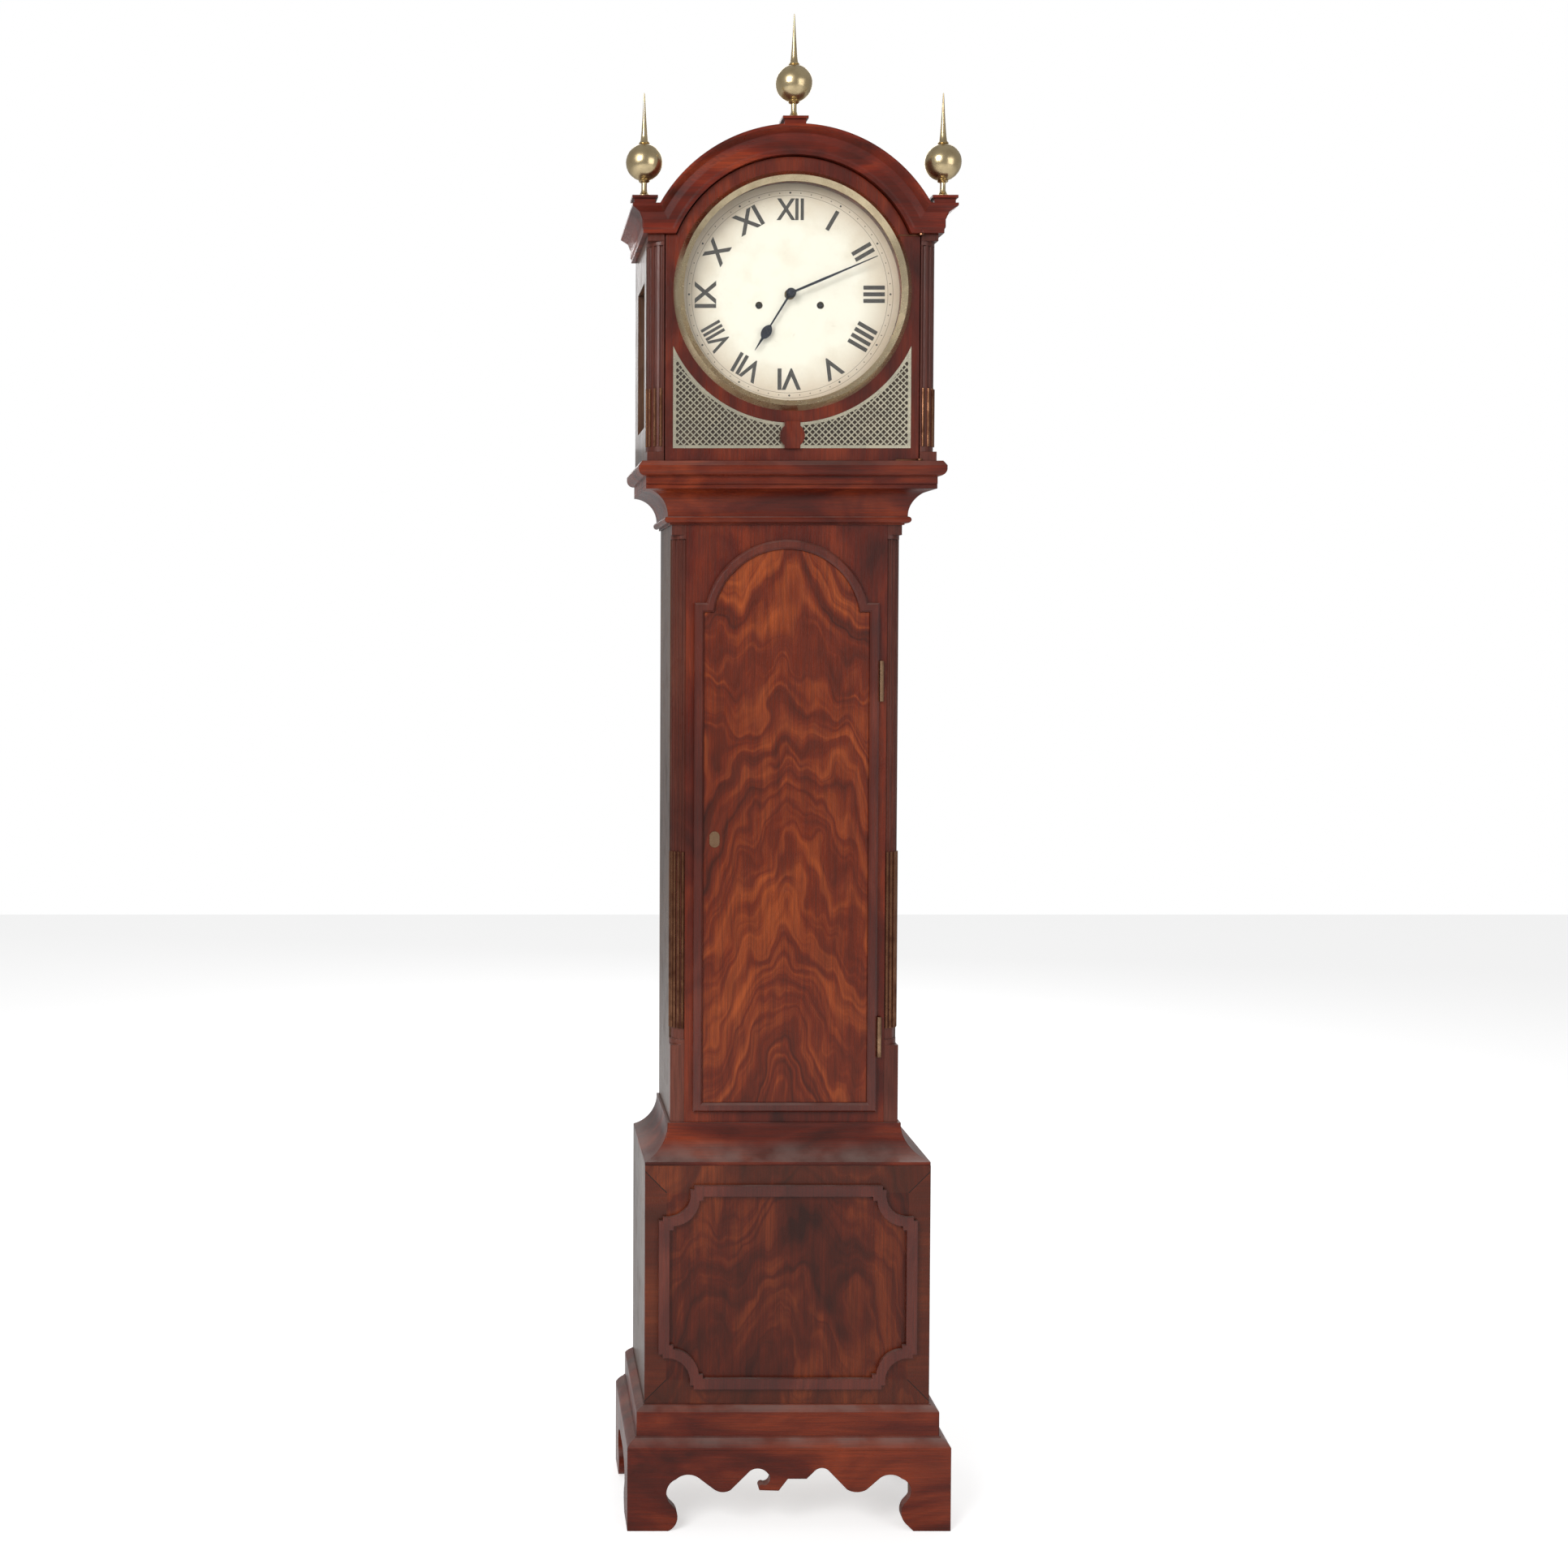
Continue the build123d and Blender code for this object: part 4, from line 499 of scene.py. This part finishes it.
def spin_outline(mesh, points, steps, centre):
    """Turns an outline of (radius, height) round the upright line through centre."""
    corners = [mesh.verts.new((centre[0] + radius, centre[1], height)) for radius, height in points]
    edges = [mesh.edges.new(pair) for pair in zip(corners, corners[1:])]
    bmesh.ops.spin(mesh, geom=corners + edges, cent=(centre[0], centre[1], 0), axis=(0, 0, 1),
                   angle=2 * math.pi, steps=steps, use_merge=True)
    bmesh.ops.remove_doubles(mesh, verts=mesh.verts, dist=0.00001)


def smooth_finials():
    """The three ball and spire finials as a turner leaves them, round with fine fillets."""
    mesh = bmesh.new()
    ball_r = finial_ball_r
    # The ball's arc runs this many degrees below and above its middle.
    cut = 76
    for x, foot in ((-finial_x, side_block_z), (0.0, middle_block_z), (finial_x, side_block_z)):
        ball = foot + finial_neck + ball_r
        tip = ball + ball_r + finial_spire
        low = ball - ball_r * math.sin(math.radians(cut))
        high = ball + ball_r * math.sin(math.radians(cut))
        points = [(0.0, foot), (0.0105, foot), (0.0108, foot + 0.0012), (0.0105, foot + 0.0025)]
        points += [(0.0074, foot + 0.0042), (0.0052, foot + 0.0068), (0.0041, foot + 0.0100)]
        points += [(0.0040, low - 0.0040), (0.0066, low - 0.0030), (0.0080, low - 0.0015), (0.0072, low)]
        for number in range(25):
            turn = math.radians(-cut + 2 * cut * number / 24)
            points.append((ball_r * math.cos(turn), ball + ball_r * math.sin(turn)))
        points += [(0.0074, high + 0.0005), (0.0080, high + 0.0015), (0.0072, high + 0.0028)]
        points += [(0.0056, high + 0.0045), (0.0046, high + 0.0120), (0.0036, high + 0.0250)]
        points += [(0.0024, high + 0.0430), (0.0012, tip - 0.0080), (0.0007, tip - 0.0006), (0.0, tip)]
        spin_outline(mesh, points, 48, (x, finial_y))
    made = piece("turned_finials", mesh, "hood", finial_brass)
    sharp_above(made, 40)
    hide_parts("finials")


def numeral_mesh(text):
    """A Roman numeral as a flat mesh, with its middle, its width and its height."""
    words = bpy.data.curves.new("numeral", "FONT")
    words.body = text
    words.size = 1.0
    words.space_character = 0.94
    words.offset = 0.018
    words.resolution_u = 3
    holder = bpy.data.objects.new("numeral", words)
    bpy.context.scene.collection.objects.link(holder)
    bpy.context.view_layer.update()
    flat = bpy.data.meshes.new_from_object(holder)
    bpy.data.objects.remove(holder)
    bpy.data.curves.remove(words)
    xs = [corner.co.x for corner in flat.vertices]
    ys = [corner.co.y for corner in flat.vertices]
    middle = Vector(((min(xs) + max(xs)) / 2, (min(ys) + max(ys)) / 2, 0))
    return flat, middle, max(xs) - min(xs), max(ys) - min(ys)


def dial_marks():
    """Twelve radial hour numerals and sixty minute dots, painted on the dial."""
    mesh = bmesh.new()
    hours = ["XII", "I", "II", "III", "IIII", "V", "VI", "VII", "VIII", "IX", "X", "XI"]
    for hour, text in enumerate(hours):
        flat, middle, width, height = numeral_mesh(text)
        grow_z = numeral_h / height
        grow_x = min(grow_z, numeral_w / width)
        turn = Matrix.Rotation(-math.radians(30 * hour), 3, "Z")
        added = bmesh.new()
        added.from_mesh(flat)
        bpy.data.meshes.remove(flat)
        for corner in added.verts:
            local = corner.co - middle
            spot = turn @ Vector((local.x * grow_x, local.y * grow_z + numeral_r, 0))
            corner.co = Vector((spot.x, dial_front_y - paint_t, dial_z + spot.y))
        copy = bpy.data.meshes.new("numeral")
        added.to_mesh(copy)
        added.free()
        mesh.from_mesh(copy)
        bpy.data.meshes.remove(copy)
    for minute in range(60):
        angle = math.radians(6 * minute)
        radius = hour_dot_radius if minute % 5 == 0 else dot_radius
        x = minute_dot_r * math.sin(angle)
        z = dial_z + minute_dot_r * math.cos(angle)
        place = Matrix.Translation((x, dial_front_y - paint_t, z)) @ Matrix.Rotation(math.pi / 2, 4, "X")
        bmesh.ops.create_circle(mesh, cap_ends=True, segments=12, radius=radius, matrix=place)
    thick = bmesh.ops.extrude_face_region(mesh, geom=list(mesh.faces))
    moved = [one for one in thick["geom"] if isinstance(one, bmesh.types.BMVert)]
    bmesh.ops.translate(mesh, verts=moved, vec=(0, paint_t, 0))
    piece("dial_numerals", mesh, "case", numeral_black, False)


def inside_fret(x, z, inset):
    """Whether a point lies inside the right fret's outline, drawn in by inset."""
    if not fret_x_in + inset < x < fret_x_out - inset or not fret_low_z + inset < z < dial_z:
        return False
    return math.hypot(x, dial_z - z) > fret_r + inset


def fret_corners(inset):
    """The right fret's outline, drawn in by inset: its foot and the hollow arc above."""
    radius = fret_r + inset
    x_in = fret_x_in + inset
    x_out = fret_x_out - inset
    low = fret_low_z + inset
    corners = [(x_in, low), (x_out, low)]
    start = math.asin(x_out / radius)
    end = math.asin(x_in / radius)
    for number in range(25):
        turn = start + (end - start) * number / 24
        corners.append((radius * math.sin(turn), dial_z - radius * math.cos(turn)))
    return corners


def fret_rim(mesh, side):
    """One fret's flat rim, between its outline and the border's inner edge."""
    edges = []
    for inset in (0.0, fret_border):
        corners = [mesh.verts.new((side * x, fret_front_y, z)) for x, z in fret_corners(inset)]
        edges += [mesh.edges.new(pair) for pair in zip(corners, corners[1:] + corners[:1])]
    flat = bmesh.ops.bridge_loops(mesh, edges=edges)["faces"]
    thick = bmesh.ops.extrude_face_region(mesh, geom=flat)
    moved = [one for one in thick["geom"] if isinstance(one, bmesh.types.BMVert)]
    bmesh.ops.translate(mesh, verts=moved, vec=(0, fret_t, 0))


def add_bar(mesh, side, start, end, lean):
    """One slanted lattice bar between two points. Bars that cross differ in thickness."""
    length = math.dist(start, end)
    if length < shortest_bar:
        return
    thick = fret_t * (0.9 if lean > 0 else 0.8)
    x = (start[0] + end[0]) / 2
    z = (start[1] + end[1]) / 2
    place = Matrix.Translation((side * x, fret_front_y + fret_t / 2, z))
    place = place @ Matrix.Rotation(math.radians(45 * lean * side), 4, "Y")
    place = place @ Matrix.Diagonal((lattice_bar, thick, length, 1))
    bmesh.ops.create_cube(mesh, size=1.0, matrix=place)


def add_lattice(mesh, side, lean):
    """A fret's bars that slant one way, each as long as its line stays inside the rim."""
    for line in range(-20, 45):
        run = []
        for number in range(340):
            x = fret_x_in + number * bar_step
            z = fret_low_z + line * lattice_gap + lean * (x - fret_x_in)
            if inside_fret(x, z, fret_border - bar_lap):
                run.append((x, z))
            elif run:
                add_bar(mesh, side, run[0], run[-1], lean)
                run = []


def pierced_frets():
    """Both sound frets with their full lattice: slanted bars crossing inside a flat rim."""
    mesh = bmesh.new()
    for side in (1, -1):
        fret_rim(mesh, side)
        for lean in (1, -1):
            add_lattice(mesh, side, lean)
    made = piece("pierced_frets", mesh, "hood_door", fret_brass, False)
    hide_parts("sound_frets")


def fret_cloths():
    """Silk stretched behind each fret, with a faint slack between its glued edges."""
    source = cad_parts["fret_silk"].data
    front = min(corner.co.y for corner in source.vertices)
    for side, name in ((-1, "fret_silk_left"), (1, "fret_silk_right")):
        mesh = bmesh.new()
        mesh.from_mesh(source)
        bmesh.ops.remove_doubles(mesh, verts=mesh.verts, dist=0.00002)
        gone = [face for face in mesh.faces
                if any(abs(corner.co.y - front) > 0.00005 or corner.co.x * side < 0 for corner in face.verts)]
        bmesh.ops.delete(mesh, geom=gone, context="FACES")
        bmesh.ops.dissolve_limit(mesh, angle_limit=0.01, verts=mesh.verts, edges=mesh.edges)
        low = [min(corner.co[axis] for corner in mesh.verts) for axis in (0, 2)]
        high = [max(corner.co[axis] for corner in mesh.verts) for axis in (0, 2)]
        cuts = [(Vector((1, 0, 0)), low[0], high[0]), (Vector((0, 0, 1)), low[1], high[1])]
        for normal, at, end in cuts:
            at += cloth_step
            while at < end - 0.001:
                every = list(mesh.verts) + list(mesh.edges) + list(mesh.faces)
                bmesh.ops.bisect_plane(mesh, geom=every, dist=0.0001, plane_co=normal * at, plane_no=normal)
                at += cloth_step
        area = sum(face.calc_area() for face in mesh.faces)
        rim = {corner for edge in mesh.edges if edge.is_boundary for corner in edge.verts}
        for corner in mesh.verts:
            if corner not in rim:
                slack = 1 + math.sin(90 * corner.co.x) * math.cos(70 * corner.co.z)
                corner.co.y += cloth_slack * slack
        cloth = piece(name, mesh, "hood_door", silk)
        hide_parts("fret_silk")


def gut_lines():
    """The two falls of gut from each barrel round its weight's pulley."""
    for side, name in ((1, "going"), (-1, "strike")):
        low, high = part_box(name + "_line")
        radius = (high[1] - low[1]) / 2
        middle_y = (low[1] + high[1]) / 2
        rise = (high[2] - low[2]) / gut_rings
        mesh = bmesh.new()
        for x in (low[0] + radius, high[0] - radius):
            place = Matrix.Translation((x, middle_y, low[2]))
            bmesh.ops.create_circle(mesh, cap_ends=False, segments=10, radius=radius, matrix=place)
            edges = [edge for edge in mesh.edges if edge.is_wire]
            for _ in range(gut_rings):
                out = bmesh.ops.extrude_edge_only(mesh, edges=edges)["geom"]
                moved = [one for one in out if isinstance(one, bmesh.types.BMVert)]
                bmesh.ops.translate(mesh, verts=moved, vec=(0, 0, rise))
                edges = [one for one in out if isinstance(one, bmesh.types.BMEdge)]
                edges = [edge for edge in edges if all(corner in moved for corner in edge.verts)]
        bmesh.ops.holes_fill(mesh, edges=[edge for edge in mesh.edges if edge.is_boundary], sides=12)
        line = piece(name + "_gut", mesh, None, gut)
        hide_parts(name + "_line")
        x = side * weight_x
        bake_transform(line)


def stage():
    """A pale floor, a white surround and three soft lights."""
    mesh = bmesh.new()
    bmesh.ops.create_grid(mesh, x_segments=1, y_segments=1, size=6.0)
    data = bpy.data.meshes.new("floor")
    mesh.to_mesh(data)
    mesh.free()
    material = bpy.data.materials.new("floor_pale")
    material.use_nodes = True
    shader = next(one for one in material.node_tree.nodes if one.type == "BSDF_PRINCIPLED")
    shader.inputs["Base Color"].default_value = (0.86, 0.86, 0.86, 1)
    shader.inputs["Roughness"].default_value = 0.9
    shader.inputs["Emission Color"].default_value = (1, 1, 1, 1)
    graph = Graph(material.node_tree)
    seen = graph.add("LightPath", {}).outputs["Is Camera Ray"]
    graph.put(shader.inputs["Emission Strength"], graph.math("MULTIPLY", seen, 0.5))
    data.materials.append(material)
    floor = bpy.data.objects.new("floor", data)
    bpy.context.scene.collection.objects.link(floor)
    world = bpy.data.worlds.new("surround")
    bpy.context.scene.world = world
    world.use_nodes = True
    graph = Graph(world.node_tree)
    graph.tree.nodes.clear()
    # The camera sees a white surround, also through glass. The clock is lit by a dimmer one.
    paths = graph.add("LightPath", {}).outputs
    seen = graph.math("MAXIMUM", paths["Is Camera Ray"], paths["Is Transmission Ray"])
    softened = graph.spread(paths["Is Glossy Ray"], 0.0, 1.0, 0.42, 0.36)
    strength = graph.add("Mix", {0: seen, 2: softened, 3: 1.0}).outputs[0]
    back = graph.add("Background", {"Color": (1, 1, 1, 1), "Strength": strength})
    end = graph.add("OutputWorld", {})
    graph.put(end.inputs[0], back.outputs[0])
    lamps = [("key", (-2.6, -3.4, 3.2), 2.2, 125.0), ("fill", (2.6, -3.4, 1.8), 2.6, 34.0),
             ("rear", (0.5, 3.2, 3.0), 2.4, 45.0)]
    for name, spot, size, power in lamps:
        light = bpy.data.lights.new(name, "AREA")
        light.energy = power
        light.size = size
        thing = bpy.data.objects.new(name, light)
        thing.location = spot
        aim = Vector((0, 0, 1.1)) - Vector(spot)
        thing.rotation_euler = aim.to_track_quat("-Z", "Y").to_euler()
        bpy.context.scene.collection.objects.link(thing)


def camera():
    """Eye as high as the trunk door's arch, left of the clock's middle, looking back and slightly down."""
    lens = bpy.data.cameras.new("camera")
    lens.lens = 44.2
    lens.sensor_width = 36.0
    lens.shift_x = 0.1896
    lens.shift_y = -0.0555
    eye = bpy.data.objects.new("camera", lens)
    eye.location = (-0.4438, -2.9090, 1.3231)
    eye.rotation_euler = (math.radians(88.0), 0, 0)
    bpy.context.scene.collection.objects.link(eye)
    bpy.context.scene.camera = eye


smooth_finials()
dial_marks()
pierced_frets()
fret_cloths()
gut_lines()
stage()
camera()
bpy.context.scene.view_settings.view_transform = "Standard"
